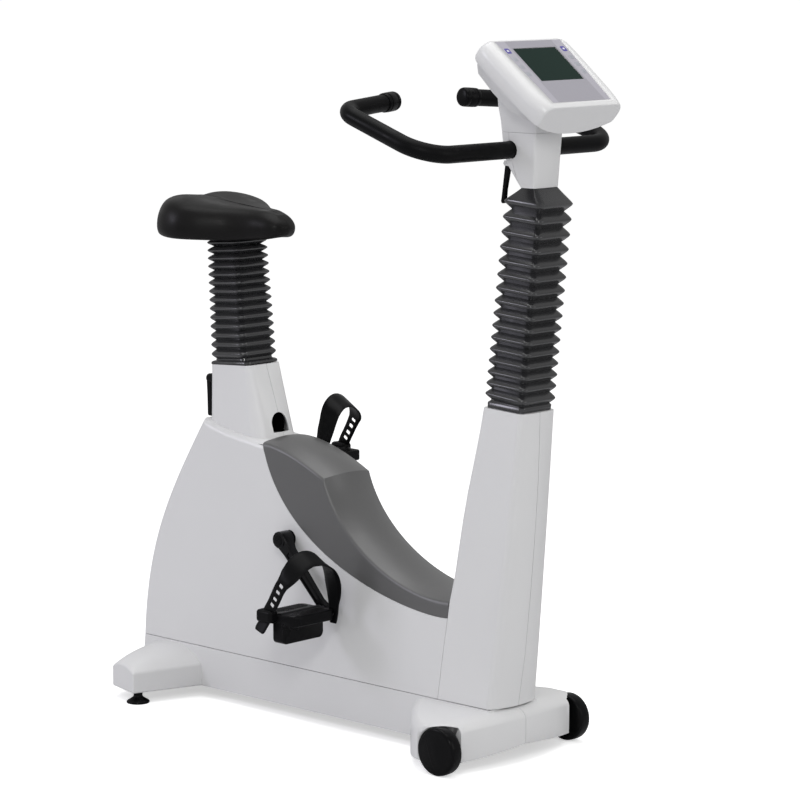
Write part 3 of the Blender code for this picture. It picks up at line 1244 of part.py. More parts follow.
def console_top():
    outer = []
    for along, half, top in ((0.0, 0.094, 0.010), (0.004, 0.1000, 0.0035), (0.014, 0.1045, 0.0),
                             (0.040, 0.1070, 0.0), (0.145, 0.1070, 0.0), (0.172, 0.1050, 0.0),
                             (CONSOLE_LENGTH - 0.002, 0.1000, 0.0),
                             (CONSOLE_LENGTH, 0.0985, CONSOLE_NOSE_DROP)):
        middle = 0.046 + 0.018 * min(max((along - 0.10) / 0.085, 0.0), 1.0)
        outer.append(console_section(along, half, top, 0.0440, middle, 0.0210))
    shell = to_object("console_top", ring_solid(outer), WHITE, SWIVEL)
    inner = []
    for along, half in ((0.0035, 0.0950), (0.020, 0.1010), (0.145, 0.1035), (0.172, 0.1010),
                        (CONSOLE_LENGTH - 0.004, 0.0960)):
        inner.append(console_section(along, half, 0.0038, 0.0900, 0.0900, 0.0190))
    foil_bed = console_slab(FOIL_REAR - 0.0005, FOIL_FRONT + 0.0005, FOIL_HALF + 0.0005, -0.0010, 0.02)
    window = console_slab(SCREEN_REAR, SCREEN_FRONT, SCREEN_HALF, -0.02, 0.02)
    return in_place(shell, [ring_solid(inner), foil_bed, window], cut)


def console_slab(rear, front, half, low, high):
    """A flat slab that lies along the console's sloping face."""
    corners = ((rear, -half), (front, -half), (front, half), (rear, half))
    faces = [[on_console(along, across, height) for along, across in corners] for height in (low, high)]
    return ring_solid(faces)


def console_foil():
    """The printed keypad membrane, with a window for the screen."""
    sheet = console_slab(FOIL_REAR, FOIL_FRONT, FOIL_HALF, -0.0007, -0.0001)
    foil = to_object("keypad_foil", sheet, FOIL, SWIVEL)
    return in_place(foil, [console_slab(SCREEN_REAR, SCREEN_FRONT, SCREEN_HALF, -0.02, 0.02)], cut)


def console_screen():
    """The display module: glass in the window, a wider board behind it."""
    glass = console_slab(SCREEN_REAR + GAP, SCREEN_FRONT - GAP, SCREEN_HALF - GAP, -0.0080, -0.0012)
    board = console_slab(SCREEN_REAR - 0.008, SCREEN_FRONT + 0.008, SCREEN_HALF + 0.010, -0.0110, -0.0043)
    return in_place(to_object("display", glass, SCREEN, SWIVEL), [board], join)


def console_base():
    """The lower moulding: a shallow tray under the top, a neck, and the swivel collar."""
    def tray(along, half, depth, inset=0.0):
        drop = 0.0443 - (0.02 if inset else 0)
        outline = [(half, -drop), (half - 0.002, -depth * 0.72), (half - 0.014, -depth),
                   (half * 0.4, -depth - 0.001)]
        outline = [(y - inset, h + (inset if h < -0.05 else 0)) for y, h in outline]
        full = outline + [(-y, h) for y, h in reversed(outline)]
        return [on_console(along, y, h) for y, h in full]

    levels = ((0.012, 0.0820, 0.0660), (0.018, 0.0865, 0.0720), (0.060, 0.0880, 0.0770),
              (0.110, 0.0880, 0.0740), (0.150, 0.0850, 0.0620), (0.1760, 0.0800, 0.0500))
    base = to_object("console_base", ring_solid([tray(*level) for level in levels]), WHITE, SWIVEL)
    neck_rings = []
    for z, rear, front, half in ((HEAD_TOP_Z, 0.3895, 0.4715, 0.0350), (1.185, 0.3885, 0.4740, 0.0370),
                                 (1.212, 0.3880, 0.4760, 0.0440), (1.236, 0.3900, 0.4700, 0.0500)):
        neck_rings.append([(x, y, z) for x, y in rounded_box(rear, front, half, half, 0.0062, 0.003, 2, 4)])
    in_place(base, [ring_solid(neck_rings)], join)
    hollow_levels = ((0.0155, 0.0820, 0.0650), (0.060, 0.0880, 0.0730), (0.110, 0.0880, 0.0700),
                     (0.150, 0.0850, 0.0590), (0.172, 0.0800, 0.0500))
    in_place(base, [ring_solid([tray(*level, inset=0.0030) for level in hollow_levels])], cut)
    collar_profile = [(-0.0105, 0), (-0.0105, 0.0205), (-0.0042, 0.0205), (-0.0042, 0.0172), (0.002, 0.0172),
                      (0.002, 0)]
    return in_place(base, [turned(collar_profile, 20, SWIVEL)], join)


# Floor contact: front transport wheels and rear levelling feet
def wheel(side, name):
    """A crowned tread with a domed outer face, and a blind bore for the axle."""
    profile = [(-0.0140, 0), (-0.0140, 0.0360), (-0.0120, 0.0420), (-0.0080, 0.0445), (-0.0020, WHEEL_RADIUS),
               (0.0040, WHEEL_RADIUS), (0.0090, 0.0440), (0.0118, 0.0405), (0.0128, 0.0330), (0.0150, 0.0200),
               (0.0160, 0)]
    centre = Vector((WHEEL_CENTRE.x, side * WHEEL_CENTRE.y, WHEEL_CENTRE.z))
    body = to_object(name, turned(profile, 22, centre, (0, side, 0)), TYRE, centre)
    start = centre + Vector((0, side * -0.03, 0))
    end = centre + Vector((0, side * 0.0095, 0))
    return in_place(body, [cylinder(0.0066, start, end, 12)], cut)


def levelling_foot(side, name):
    """A conical pad with a neck and a screw that runs up into the frame."""
    profile = [(0, 0), (0, 0.0225), (0.0030, 0.0230), (0.0050, 0.0210), (0.0105, 0.0120), (0.0140, 0.0090),
               (0.0255, 0.0090), (0.0255, 0.0050), (0.0540, 0.0050), (0.0540, 0)]
    place = Vector((FOOT_CENTRE.x, side * FOOT_CENTRE.y, 0))
    return to_object(name, turned(profile, 12, place), BLACK_PLASTIC, place)


# Mains: the module in the column cover, its socket and its rocker
POWER_CENTRE_X = (POWER_LOW[0] + POWER_HIGH[0]) / 2


def power_inlet():
    low = Vector(POWER_LOW) + Vector((GAP, 0, GAP))
    high = Vector(POWER_HIGH) - Vector((GAP, 0, GAP))
    body = block((low.x, 0.0345, low.z), (high.x, HOUSING_HALF - 0.0005, high.z))
    module = to_object("power_inlet", body, BLACK_PLASTIC)
    middle = POWER_CENTRE_X
    socket = block((middle - 0.0100, 0.0450, 0.1315), (middle + 0.0100, 0.08, 0.1535))
    switch_bay = block((middle - 0.0075, 0.0500, 0.1600), (middle + 0.0075, 0.08, 0.1800))
    cut(module, socket, switch_bay)
    pins = []
    for shift, z in ((-0.0050, 0.1370), (0.0, 0.1440), (0.0050, 0.1370)):
        pins.append(block((middle + shift - 0.001, 0.0440, z), (middle + shift + 0.001, 0.0600, z + 0.0040)))
    return join(module, *pins)


ROCKER_PIVOT = Vector((POWER_CENTRE_X, 0.0600, 0.1700))


def power_rocker():
    """A rocker that tips about a level axis: one long edge stands proud."""
    outline = [(0.0600, 0.1622), (0.0663, 0.1612), (0.0650, 0.1700), (0.0685, 0.1788), (0.0600, 0.1778),
               (0.0560, 0.1740), (0.0560, 0.1660)]
    rocker = prism(outline, POWER_CENTRE_X - 0.0070, POWER_CENTRE_X + 0.0070, "X")
    return to_object("power_switch", rocker, BLACK_PLASTIC, ROCKER_PIVOT)


# Build every piece, and hang what moves on an empty at its joint
body_panels()
top_cover()
column_covers()
base_covers()
tower_liner()
main_frame()
drive_belt()
brake_magnet()
control_box()
power_inlet()
seat_bellows()
column_bellows()
gas_spring("seat_gas_spring", SEAT_AXIS_POINT, SEAT_AXIS, 0.360)
gas_spring("column_gas_spring", COLUMN_AXIS_POINT, COLUMN_AXIS, 0.420)
for side, word in ((RIGHT, "right"), (LEFT, "left")):
    centre = CRANK_AXLE + Vector((0, side * 0.0285, 0))
    bearing("crank_bearing_" + word, centre, BEARING_RADIUS, AXLE_RADIUS + GAP, 0.010)
for word, out in (("right", -0.0490), ("left", 0.0230)):
    centre = FLYWHEEL_AXLE + Vector((0, out, 0))
    bearing("flywheel_bearing_" + word, centre, FLYWHEEL_BEARING_RADIUS, 0.0077, 0.008)

crank_joint = group("crank_joint", CRANK_AXLE)
crankset = [crank_axle(), crank_pulley()]
for side, word in ((RIGHT, "right"), (LEFT, "left")):
    crankset += [crank_arm(side, "crank_arm_" + word), crank_cap(side, "crank_cap_" + word),
                 pedal_spindle(side, "pedal_spindle_" + word)]
carry(crank_joint, *crankset)
for side, word, spindle in ((RIGHT, "right", PEDAL_RIGHT_SPINDLE), (LEFT, "left", PEDAL_LEFT_SPINDLE)):
    pedal_joint = group("pedal_joint_" + word, spindle)
    carry(pedal_joint, pedal(side, "pedal_" + word), pedal_strap(side, "pedal_strap_" + word))
    carry(crank_joint, pedal_joint)

carry(group("flywheel_joint", FLYWHEEL_AXLE), flywheel(), flywheel_shaft())

seat_slide = group("seat_slide", SEAT_AXIS_POINT)
seat_post = sliding_post("seat_post", SEAT_AXIS_POINT, SEAT_AXIS, 0.380, 0.600, 0.9055)
seat_rod = gas_rod("seat_gas_rod", SEAT_AXIS_POINT, SEAT_AXIS, 0.240, 0.600)
carry(seat_slide, seat_post, seat_rod, saddle_clamp(), saddle_base(), saddle_pad())
seat_lever()

column_slide = group("column_slide", COLUMN_AXIS_POINT)
column_post = sliding_post("column_post", COLUMN_AXIS_POINT, COLUMN_AXIS, 0.370, 0.700, 1.0450)
column_rod = gas_rod("column_gas_rod", COLUMN_AXIS_POINT, COLUMN_AXIS, 0.330, 0.700)
carry(column_slide, column_post, column_rod, *head_shells(), handlebar_clamp(), handlebar_lever())
bar_joint = group("bar_joint", CROSSBAR)
carry(bar_joint, handlebar(), grip_sleeve(RIGHT, "grip_right"), grip_sleeve(LEFT, "grip_left"))
console_joint = group("console_joint", SWIVEL)
carry(console_joint, console_base(), console_top(), console_foil(), console_screen())
carry(column_slide, bar_joint, console_joint)

for side, word in ((RIGHT, "right"), (LEFT, "left")):
    wheel(side, "wheel_" + word)
    levelling_foot(side, "levelling_foot_" + word)
power_rocker()
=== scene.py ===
# %% [markdown]
# # Dressing a bicycle ergometer
#
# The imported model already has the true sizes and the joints. This lesson gives it its looks: a camera, a
# studio, finishes made of shader nodes, and finer forms for the covers, the bellows, the saddle and the
# console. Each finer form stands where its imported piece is, so every joint still works.

import json
from math import cos, hypot, pi, radians, sin, sqrt, tan

import bmesh
import bpy
from mathutils import Matrix, Vector

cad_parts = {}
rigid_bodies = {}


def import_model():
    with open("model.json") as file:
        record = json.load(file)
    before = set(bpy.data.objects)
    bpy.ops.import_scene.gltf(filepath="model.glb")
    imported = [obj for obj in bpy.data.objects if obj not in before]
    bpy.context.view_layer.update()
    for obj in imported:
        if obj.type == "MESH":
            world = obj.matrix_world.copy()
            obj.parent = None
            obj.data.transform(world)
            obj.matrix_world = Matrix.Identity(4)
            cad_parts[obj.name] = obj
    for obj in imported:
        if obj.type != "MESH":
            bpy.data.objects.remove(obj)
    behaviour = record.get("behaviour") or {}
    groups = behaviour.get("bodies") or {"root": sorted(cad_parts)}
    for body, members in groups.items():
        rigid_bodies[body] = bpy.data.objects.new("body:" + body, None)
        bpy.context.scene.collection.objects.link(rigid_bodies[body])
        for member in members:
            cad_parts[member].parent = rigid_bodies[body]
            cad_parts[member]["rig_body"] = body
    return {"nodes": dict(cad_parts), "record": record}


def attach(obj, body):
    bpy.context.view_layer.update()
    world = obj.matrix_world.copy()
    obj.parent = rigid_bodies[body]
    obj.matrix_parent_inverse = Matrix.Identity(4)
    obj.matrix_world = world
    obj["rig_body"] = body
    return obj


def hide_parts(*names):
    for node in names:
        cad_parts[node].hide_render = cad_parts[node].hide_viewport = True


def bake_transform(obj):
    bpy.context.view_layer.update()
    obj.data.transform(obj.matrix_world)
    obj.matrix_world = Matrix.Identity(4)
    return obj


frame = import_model()
scene = bpy.context.scene
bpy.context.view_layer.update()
slot_of = {entry["node"]: entry["material_slot"] for entry in frame["record"]["subparts"]}
SIDES = ((-1, "right"), (1, "left"))  # Y points to the rider's left

# %% [markdown]
# ## Camera
#
# A catalogue view is taken from far away with a long lens, so that upright edges stay nearly parallel. The
# camera is set by two angles and a distance round a point to aim at, which is easier to correct than a
# matrix.


# %% Camera
def placed(name, data):
    """A new object in the scene."""
    thing = bpy.data.objects.new(name, data)
    scene.collection.objects.link(thing)
    return thing


def aimed(thing, place, target):
    thing.location = place
    thing.rotation_euler = (Vector(target) - Vector(place)).to_track_quat("-Z", "Y").to_euler()


AIM = Vector((0.362, -0.2715, 0.700))
AZIMUTH = radians(43.5)
ELEVATION = radians(8.54)
DISTANCE = 5.7
back = Vector((sin(AZIMUTH) * cos(ELEVATION), -cos(AZIMUTH) * cos(ELEVATION), sin(ELEVATION)))
lens = bpy.data.cameras.new("studio_camera")
lens.lens = 144.8
lens.sensor_width = 36.0
scene.camera = placed("studio_camera", lens)
aimed(scene.camera, AIM + back * DISTANCE, AIM)
print("camera at", [round(value, 3) for value in scene.camera.location])

# %% [markdown]
# ## Node helpers
#
# Typing every node by hand makes long files. One helper adds a node, sets its inputs and links its sockets,
# and a second one makes a node group with named inputs and outputs.


# %% Node helpers
def add_node(tree, kind, inputs=None, **settings):
    node = tree.nodes.new(kind)
    for key, value in settings.items():
        setattr(node, key, value)
    for key, value in (inputs or {}).items():
        if isinstance(value, bpy.types.NodeSocket):
            tree.links.new(value, node.inputs[key])
        else:
            node.inputs[key].default_value = value
    return node


def new_tree(name, tree_kind, inputs, outputs):
    """A node group; each socket has its kind, or a number where it is a float with that value."""
    tree = bpy.data.node_groups.new(name, tree_kind)
    for label, kind in inputs.items():
        number = isinstance(kind, float)
        socket = tree.interface.new_socket(label, in_out="INPUT",
                                           socket_type="NodeSocket" + ("Float" if number else kind))
        if number:
            socket.default_value = kind
    for label, kind in outputs.items():
        tree.interface.new_socket(label, in_out="OUTPUT", socket_type="NodeSocket" + kind)
    return tree, tree.nodes.new("NodeGroupInput").outputs, tree.nodes.new("NodeGroupOutput").inputs


def own_place(tree):
    """Where a point lies in its own object's frame."""
    return add_node(tree, "ShaderNodeTexCoord").outputs["Object"]


# %% [markdown]
# ## Studio
#
# Product pictures are lit by large soft lamps in a white room. The world is pure white for the camera, and
# weaker as a light and in reflections, so that dark plastic keeps its depth. The floor is one plain sheet.

# %% World and floor
ROOM_LIGHT = 0.50
PAPER_GLOW = 0.52
FLOOR_REACH = 60.0
WHITE = (1.0, 1.0, 1.0, 1.0)
scene.view_settings.view_transform = "Standard"
room = bpy.data.worlds.new("white_room")
scene.world = room
room.use_nodes = True
walls = room.node_tree
ray = add_node(walls, "ShaderNodeLightPath").outputs
seen = add_node(walls, "ShaderNodeMath", {0: ray["Is Camera Ray"], 1: ray["Is Transmission Ray"]},
                operation="MAXIMUM")
level = add_node(walls, "ShaderNodeMapRange", {"Value": seen.outputs[0], "To Min": ROOM_LIGHT, "To Max": 1.0})
walls.nodes["Background"].inputs["Color"].default_value = WHITE
walls.links.new(level.outputs[0], walls.nodes["Background"].inputs["Strength"])

sheet = bpy.data.meshes.new("studio_floor")
corners = [(x * FLOOR_REACH, y * FLOOR_REACH, 0) for x, y in ((-1, -1), (1, -1), (1, 1), (-1, 1))]
sheet.from_pydata(corners, [], [(0, 1, 2, 3)])
paper = bpy.data.materials.new("studio_paper")
paper.use_nodes = True
sheet.materials.append(paper)
tree = paper.node_tree
shown = add_node(tree, "ShaderNodeLightPath").outputs["Is Camera Ray"]
tone = add_node(tree, "ShaderNodeMixRGB", {"Fac": shown, "Color1": (0.66, 0.66, 0.67, 1), "Color2": WHITE})
glow = add_node(tree, "ShaderNodeMath", {0: shown, 1: PAPER_GLOW}, operation="MULTIPLY")
shader = tree.nodes["Principled BSDF"].inputs
tree.links.new(tone.outputs[0], shader["Base Color"])
tree.links.new(glow.outputs[0], shader["Emission Strength"])
for label, value in (("Roughness", 0.9), ("Specular IOR Level", 0.0), ("Emission Color", WHITE)):
    shader[label].default_value = value
placed("studio_floor", sheet)
print("room light", ROOM_LIGHT)

# %% Lamps
LAMP_TARGET = (0.0, 0.0, 0.6)
for name, place, size, power, color in (
        ("top_lamp", (0.0, 0.2, 4.2), 3.2, 61.0, (1.0, 1.0, 1.0)),
        ("front_lamp", (4.2, 0.9, 2.0), 2.2, 22.0, (1.0, 1.0, 1.0)),
        ("side_lamp", (-2.9, -3.8, 2.6), 1.5, 46.0, (0.88, 0.86, 1.0)),
        ("edge_lamp", (2.9, -3.5, 2.9), 1.0, 43.0, (1.0, 1.0, 1.0))):
    lamp = bpy.data.lights.new(name, "AREA")
    lamp.shape = "SQUARE"
    lamp.size = size
    lamp.energy = power
    lamp.color = color
    aimed(placed(name, lamp), place, LAMP_TARGET)
print("lamps:", [lamp.name for lamp in bpy.data.lights])

# %% [markdown]
# ## Finishes
#
# Moulded plastic is never quite even: it has a fine grain, a slow drift of tone, and places that hands have
# polished. Three small groups hold these effects, and each finish sets them to its own scale. Base colours
# are the ones that the real piece has in plain light.

# %% Groups that several finishes share
grain_tree, given, result = new_tree("moulded_grain", "ShaderNodeTree", {"Scale": 900.0, "Drift Scale": 4.0},
                                     {"Height": "Float", "Drift": "Float"})
place = own_place(grain_tree)
fine = add_node(grain_tree, "ShaderNodeTexNoise", {"Vector": place, "Scale": given["Scale"], "Detail": 3.0,
                                                   "Roughness": 0.6})
slow = add_node(grain_tree, "ShaderNodeTexNoise", {"Vector": place, "Scale": given["Drift Scale"],
                                                   "Detail": 2.0})
grain_tree.links.new(fine.outputs["Fac"], result["Height"])
grain_tree.links.new(slow.outputs["Fac"], result["Drift"])

polish_tree, given, result = new_tree("handled_polish", "ShaderNodeTree", {"Scale": 14.0, "Spread": 0.5},
                                      {"Mask": "Float"})
place = own_place(polish_tree)
patch = add_node(polish_tree, "ShaderNodeTexNoise", {"Vector": place, "Scale": given["Scale"], "Detail": 4.0,
                                                     "Distortion": 0.6})
upper = add_node(polish_tree, "ShaderNodeMath", {0: given["Spread"], 1: 0.12}, operation="ADD")
edge = add_node(polish_tree, "ShaderNodeMapRange", {"Value": patch.outputs["Fac"],
                                                    "From Min": given["Spread"],
                                                    "From Max": upper.outputs[0]})
polish_tree.links.new(edge.outputs[0], result["Mask"])

skin_tree, given, result = new_tree("pebbled_skin", "ShaderNodeTree", {"Scale": 500.0}, {"Height": "Float"})
cells = add_node(skin_tree, "ShaderNodeTexVoronoi", {"Vector": own_place(skin_tree),
                                                     "Scale": given["Scale"]}, feature="SMOOTH_F1")
skin_tree.links.new(cells.outputs["Distance"], result["Height"])
print("shader groups:", [group.name for group in bpy.data.node_groups])

# %% One finish
finishes = {}


def make_finish(name, color, roughness, grain=900.0, depth=0.00002, drift=0.03, polish=0.06, specular=0.5,
                metallic=0.0, coat=0.0, skin=0.0, stretch=None):
    """A finish whose tone drifts, whose handled patches shine more, and whose surface has a grain."""
    material = bpy.data.materials.new(name)
    material.use_nodes = True
    tree = material.node_tree
    shader = tree.nodes["Principled BSDF"].inputs
    for label, value in (("Metallic", metallic), ("Specular IOR Level", specular), ("Coat Weight", coat),
                         ("Coat Roughness", 0.12)):
        shader[label].default_value = value
    grains = add_node(tree, "ShaderNodeGroup", node_tree=grain_tree)
    grains.inputs["Scale"].default_value = grain
    mask = add_node(tree, "ShaderNodeGroup", node_tree=polish_tree).outputs["Mask"]
    tone = add_node(tree, "ShaderNodeMapRange", {"Value": grains.outputs["Drift"], "From Min": 0.3,
                                                 "From Max": 0.7, "To Min": 1 - drift, "To Max": 1 + drift})
    tinted = add_node(tree, "ShaderNodeVectorMath", {0: color, 1: tone.outputs[0]}, operation="MULTIPLY")
    shine = add_node(tree, "ShaderNodeMapRange", {"Value": mask, "To Min": roughness,
                                                  "To Max": max(roughness - polish, 0.05)})
    height = grains.outputs["Height"]
    if skin:
        pebbles = add_node(tree, "ShaderNodeGroup", node_tree=skin_tree)
        pebbles.inputs["Scale"].default_value = skin
        height = add_node(tree, "ShaderNodeMath", {0: height, 1: pebbles.outputs["Height"]},
                          operation="ADD").outputs[0]
    if stretch:
        pulled = add_node(tree, "ShaderNodeMapping", {"Vector": own_place(tree), "Scale": stretch})
        height = add_node(tree, "ShaderNodeTexNoise", {"Vector": pulled.outputs[0], "Scale": 60.0,
                                                       "Detail": 4.0}).outputs["Fac"]
    bump = add_node(tree, "ShaderNodeBump", {"Height": height, "Distance": depth, "Strength": 0.8})
    for node, label in ((tinted, "Base Color"), (shine, "Roughness"), (bump, "Normal")):
        tree.links.new(node.outputs[0], shader[label])
    finishes[name] = material


# %% All finishes
make_finish("white_cover", (0.745, 0.745, 0.747), 0.36, 1100.0, 0.000012, 0.012, 0.05, coat=0.15)
make_finish("gray_cover", (0.098, 0.098, 0.098), 0.38, 1100.0, 0.00001, 0.02, 0.05, 0.75)
make_finish("bellows_rubber", (0.021, 0.021, 0.0225), 0.24, 700.0, 0.00001, 0.10, 0.08, 0.80)
make_finish("black_plastic", (0.0045, 0.0045, 0.005), 0.34, 1300.0, 0.00001, 0.06, 0.10, 0.08)
make_finish("crank_coating", (0.0045, 0.0045, 0.005), 0.24, 800.0, 0.00001, 0.06, 0.08, 0.14)
make_finish("bar_coating", (0.0042, 0.0042, 0.0046), 0.42, 1500.0, 0.00003, 0.06, 0.12, 0.07)
make_finish("saddle_cover", (0.0048, 0.0044, 0.0044), 0.44, 900.0, 0.00005, 0.10, 0.10, 0.17, skin=620.0)
make_finish("frame_steel", (0.045, 0.045, 0.050), 0.45, 500.0, 0.00004, 0.05, 0.05)
make_finish("bright_steel", (0.56, 0.56, 0.58), 0.28, depth=0.00001, metallic=1.0, stretch=(1.0, 1.0, 14.0))
make_finish("cast_iron", (0.11, 0.11, 0.12), 0.50, 260.0, 0.0001, 0.10, 0.10, metallic=0.8)
make_finish("belt_rubber", (0.018, 0.018, 0.018), 0.65, 600.0, 0.00004)
make_finish("wheel_rubber", (0.0042, 0.0042, 0.0046), 0.22, 900.0, 0.00001, 0.06, 0.08, 0.09)
make_finish("keypad_foil", (0.345, 0.335, 0.375), 0.34, 1600.0, 0.00001, 0.01, 0.04)
make_finish("screen", (0.017, 0.031, 0.026), 0.16, 300.0, 0.0, 0.12, 0.04, 0.02)
make_finish("key_print_violet", (0.085, 0.070, 0.330), 0.35, 1600.0, 0.00001, 0.02, 0.03)
make_finish("key_print_pale", (0.36, 0.37, 0.41), 0.35, 1600.0, 0.00001, 0.02, 0.03)
make_finish("key_print_white", (0.80, 0.80, 0.82), 0.35, 1600.0, 0.00001, 0.01, 0.03)


def coated(piece, slot):
    piece.data.materials.clear()
    piece.data.materials.append(finishes[slot])
    return piece


def shaded(piece, limit):
    """Smooth shading, but for the edges that are sharper than the limit."""
    piece.data.shade_smooth()
    piece.data.set_sharp_from_angle(angle=radians(limit))
    return piece


for node, piece in frame["nodes"].items():
    shaded(coated(piece, slot_of[node]), 35)
print("finishes:", len(finishes))

# %% [markdown]
# ## Drawing helpers
#
# Most covers are skins over a row of cross-sections, and the rest are turned or drawn out of an outline.
# A handful of helpers for curves, outlines and skins makes all of them.


# %% Curves and outlines
def mix(low, high, share):
    return low + (high - low) * share


def held(value):
    """The value kept between 0 and 1."""
    return min(max(value, 0.0), 1.0)


def read_at(table, key):
    """A value between the rows of a short table of (key, value) pairs."""
    for (key_0, value_0), (key_1, value_1) in zip(table, table[1:]):
        if key <= key_1:
            return mix(value_0, value_1, (key - key_0) / (key_1 - key_0))
    return table[-1][1]


def curve_point(curve, share):
    """One point of a cubic curve given by its start, two pulls and its end."""
    left = 1 - share
    weights = (left ** 3, 3 * share * left ** 2, 3 * share ** 2 * left, share ** 3)
    return tuple(sum(w * c[axis] for w, c in zip(weights, curve)) for axis in range(2))


def arc(centre, radius, start_degrees, end_degrees, steps):
    turns = [radians(mix(start_degrees, end_degrees, step / steps)) for step in range(steps + 1)]
    return [(centre[0] + radius * cos(turn), centre[1] + radius * sin(turn)) for turn in turns]


def rounded_box(rear, front, half_rear, half_front, radius, bulge=0.0, steps=6, front_steps=8,
                rear_radius=None):
    """A rounded four-sided outline (x, y) whose front side bows forward by the bulge."""
    rear_radius = radius if rear_radius is None else rear_radius
    corners = arc((front - radius, half_front - radius), radius, 0, 90, steps)
    corners += arc((rear + rear_radius, half_rear - rear_radius), rear_radius, 90, 180, steps)
    corners += arc((rear + rear_radius, rear_radius - half_rear), rear_radius, 180, 270, steps)
    corners += arc((front - radius, radius - half_front), radius, 270, 360, steps)
    side = half_front - radius
    corners += [(front, mix(-side, side, step / front_steps)) for step in range(1, front_steps)]
    middle = (rear + front) / 2
    bowed = []
    for x, y in corners:
        share = max(0.0, (x - middle) / (front - middle))
        bowed.append((x + bulge * share * (1 - (y / half_front) ** 2), y))
    return bowed


def shifted(points, distance, closed=False):
    """An outline moved sideways to its left; a closed one has no ends."""
    moved = []
    last = len(points) - 1
    for index, (x, y) in enumerate(points):
        before = points[index - 1 if closed else max(index - 1, 0)]
        after = points[(index + 1) % len(points) if closed else min(index + 1, last)]
        run = (after[0] - before[0], after[1] - before[1])
        length = hypot(*run)
        moved.append((x - run[1] / length * distance, y + run[0] / length * distance))
    return moved


def smooth_route(points, steps):
    """A smooth curve through points, read at even shares between them."""
    route = []
    ends = [points[0], *points, points[-1]]
    for places in zip(ends, ends[1:], ends[2:], ends[3:]):
        before, start, end, after = (Vector(place) for place in places)
        for step in range(steps):
            t = step / steps
            pull = (end - before) * t
            bend = (2 * before - 5 * start + 4 * end - after) * t ** 2
            twist = (3 * start - 3 * end + after - before) * t ** 3
            route.append(0.5 * (2 * start + pull + bend + twist))
    route.append(Vector(points[-1]))
    return route


# %% Skins and turned forms
def skin(rings, loop=False):
    """A closed mesh over rings that all have the same count of points."""
    bm = bmesh.new()
    loops = [[bm.verts.new(point) for point in ring] for ring in rings]
    pairs = list(zip(loops, loops[1:])) + ([(loops[-1], loops[0])] if loop else [])
    count = len(rings[0])
    for first, second in pairs:
        for index in range(count):
            after = (index + 1) % count
            bm.faces.new((first[index], first[after], second[after], second[index]))
    if not loop:
        bm.faces.new(list(reversed(loops[0])))
        bm.faces.new(loops[-1])
    bmesh.ops.recalc_face_normals(bm, faces=bm.faces)
    return bm


def drawn_out(outline, low, high, axis):
    """An outline drawn out along X, Y or Z."""
    slot = "XYZ".index(axis)
    return skin([[(*point[:slot], distance, *point[slot:]) for point in outline] for distance in (low, high)])


def box(low, high):
    outline = ((low[0], low[1]), (high[0], low[1]), (high[0], high[1]), (low[0], high[1]))
    return drawn_out(outline, low[2], high[2], "Z")


def turned(profile, steps, centre=(0, 0, 0), direction=(0, 0, 1)):
    """A turned form from (distance along the axis, radius) pairs; a radius of 0 is a pole."""
    bm = bmesh.new()
    turns = [2 * pi * k / steps for k in range(steps)]
    loops = []
    for along, radius in profile:
        circle = turns if radius else [0.0]
        loops.append([bm.verts.new((radius * cos(turn), radius * sin(turn), along)) for turn in circle])
    pairs = list(zip(loops, loops[1:]))
    if all(radius > 0 for _, radius in profile):
        pairs.append((loops[-1], loops[0]))
    for first, second in pairs:
        for k in range(steps):
            after = (k + 1) % steps
            if len(first) == 1:
                bm.faces.new((first[0], second[after], second[k]))
            elif len(second) == 1:
                bm.faces.new((first[k], first[after], second[0]))
            else:
                bm.faces.new((first[k], first[after], second[after], second[k]))
    bmesh.ops.recalc_face_normals(bm, faces=bm.faces)
    turn = Vector((0, 0, 1)).rotation_difference(Vector(direction)).to_matrix().to_4x4()
    bm.transform(Matrix.Translation(Vector(centre)) @ turn)
    return bm


def bar_between(radius, start, end, steps=32):
    start, end = Vector(start), Vector(end)
    length = (end - start).length
    return turned([(0, 0), (0, radius), (length, radius), (length, 0)], steps, start, end - start)


# %% [markdown]
# ## Putting a piece in place
#
# A finer form needs the same three facts each time: which body it rides on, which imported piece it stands
# for, and which finish it has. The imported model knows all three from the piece's name. Edges are rounded by
# a Bevel modifier, and Weighted Normal keeps the broad faces flat next to the roundings.


# %% Placing helpers
def new_object(name, bm):
    mesh = bpy.data.meshes.new(name)
    bm.to_mesh(mesh)
    bm.free()
    return placed(name, mesh)


def opened(piece):
    """The piece's mesh, open for edits."""
    bm = bmesh.new()
    bm.from_mesh(piece.data)
    return bm


def applied(piece):
    """The piece with its modifiers worked into its mesh."""
    bpy.context.view_layer.update()
    graph = bpy.context.evaluated_depsgraph_get()
    mesh = bpy.data.meshes.new_from_object(piece.evaluated_get(graph), preserve_all_data_layers=True,
                                           depsgraph=graph)
    piece.modifiers.clear()
    piece.data = mesh
    return piece


def combined(piece, tools, operation):
    """The piece with each tool cut from it or joined to it."""
    helpers = [new_object("tool", tool) for tool in tools]
    for helper in helpers:
        modifier = piece.modifiers.new(operation.lower(), "BOOLEAN")
        modifier.operation = operation
        modifier.solver = "MANIFOLD"
        modifier.object = helper
    applied(piece)
    for helper in helpers:
        bpy.data.objects.remove(helper, do_unlink=True)
    bm = opened(piece)
    bmesh.ops.remove_doubles(bm, verts=bm.verts, dist=1e-6)
    bmesh.ops.dissolve_degenerate(bm, edges=bm.edges, dist=1e-6)
    bm.to_mesh(piece.data)
    bm.free()
    return piece


def cut(piece, *tools):
    return combined(piece, tools, "DIFFERENCE")


def join(piece, *tools):
    return combined(piece, tools, "UNION")


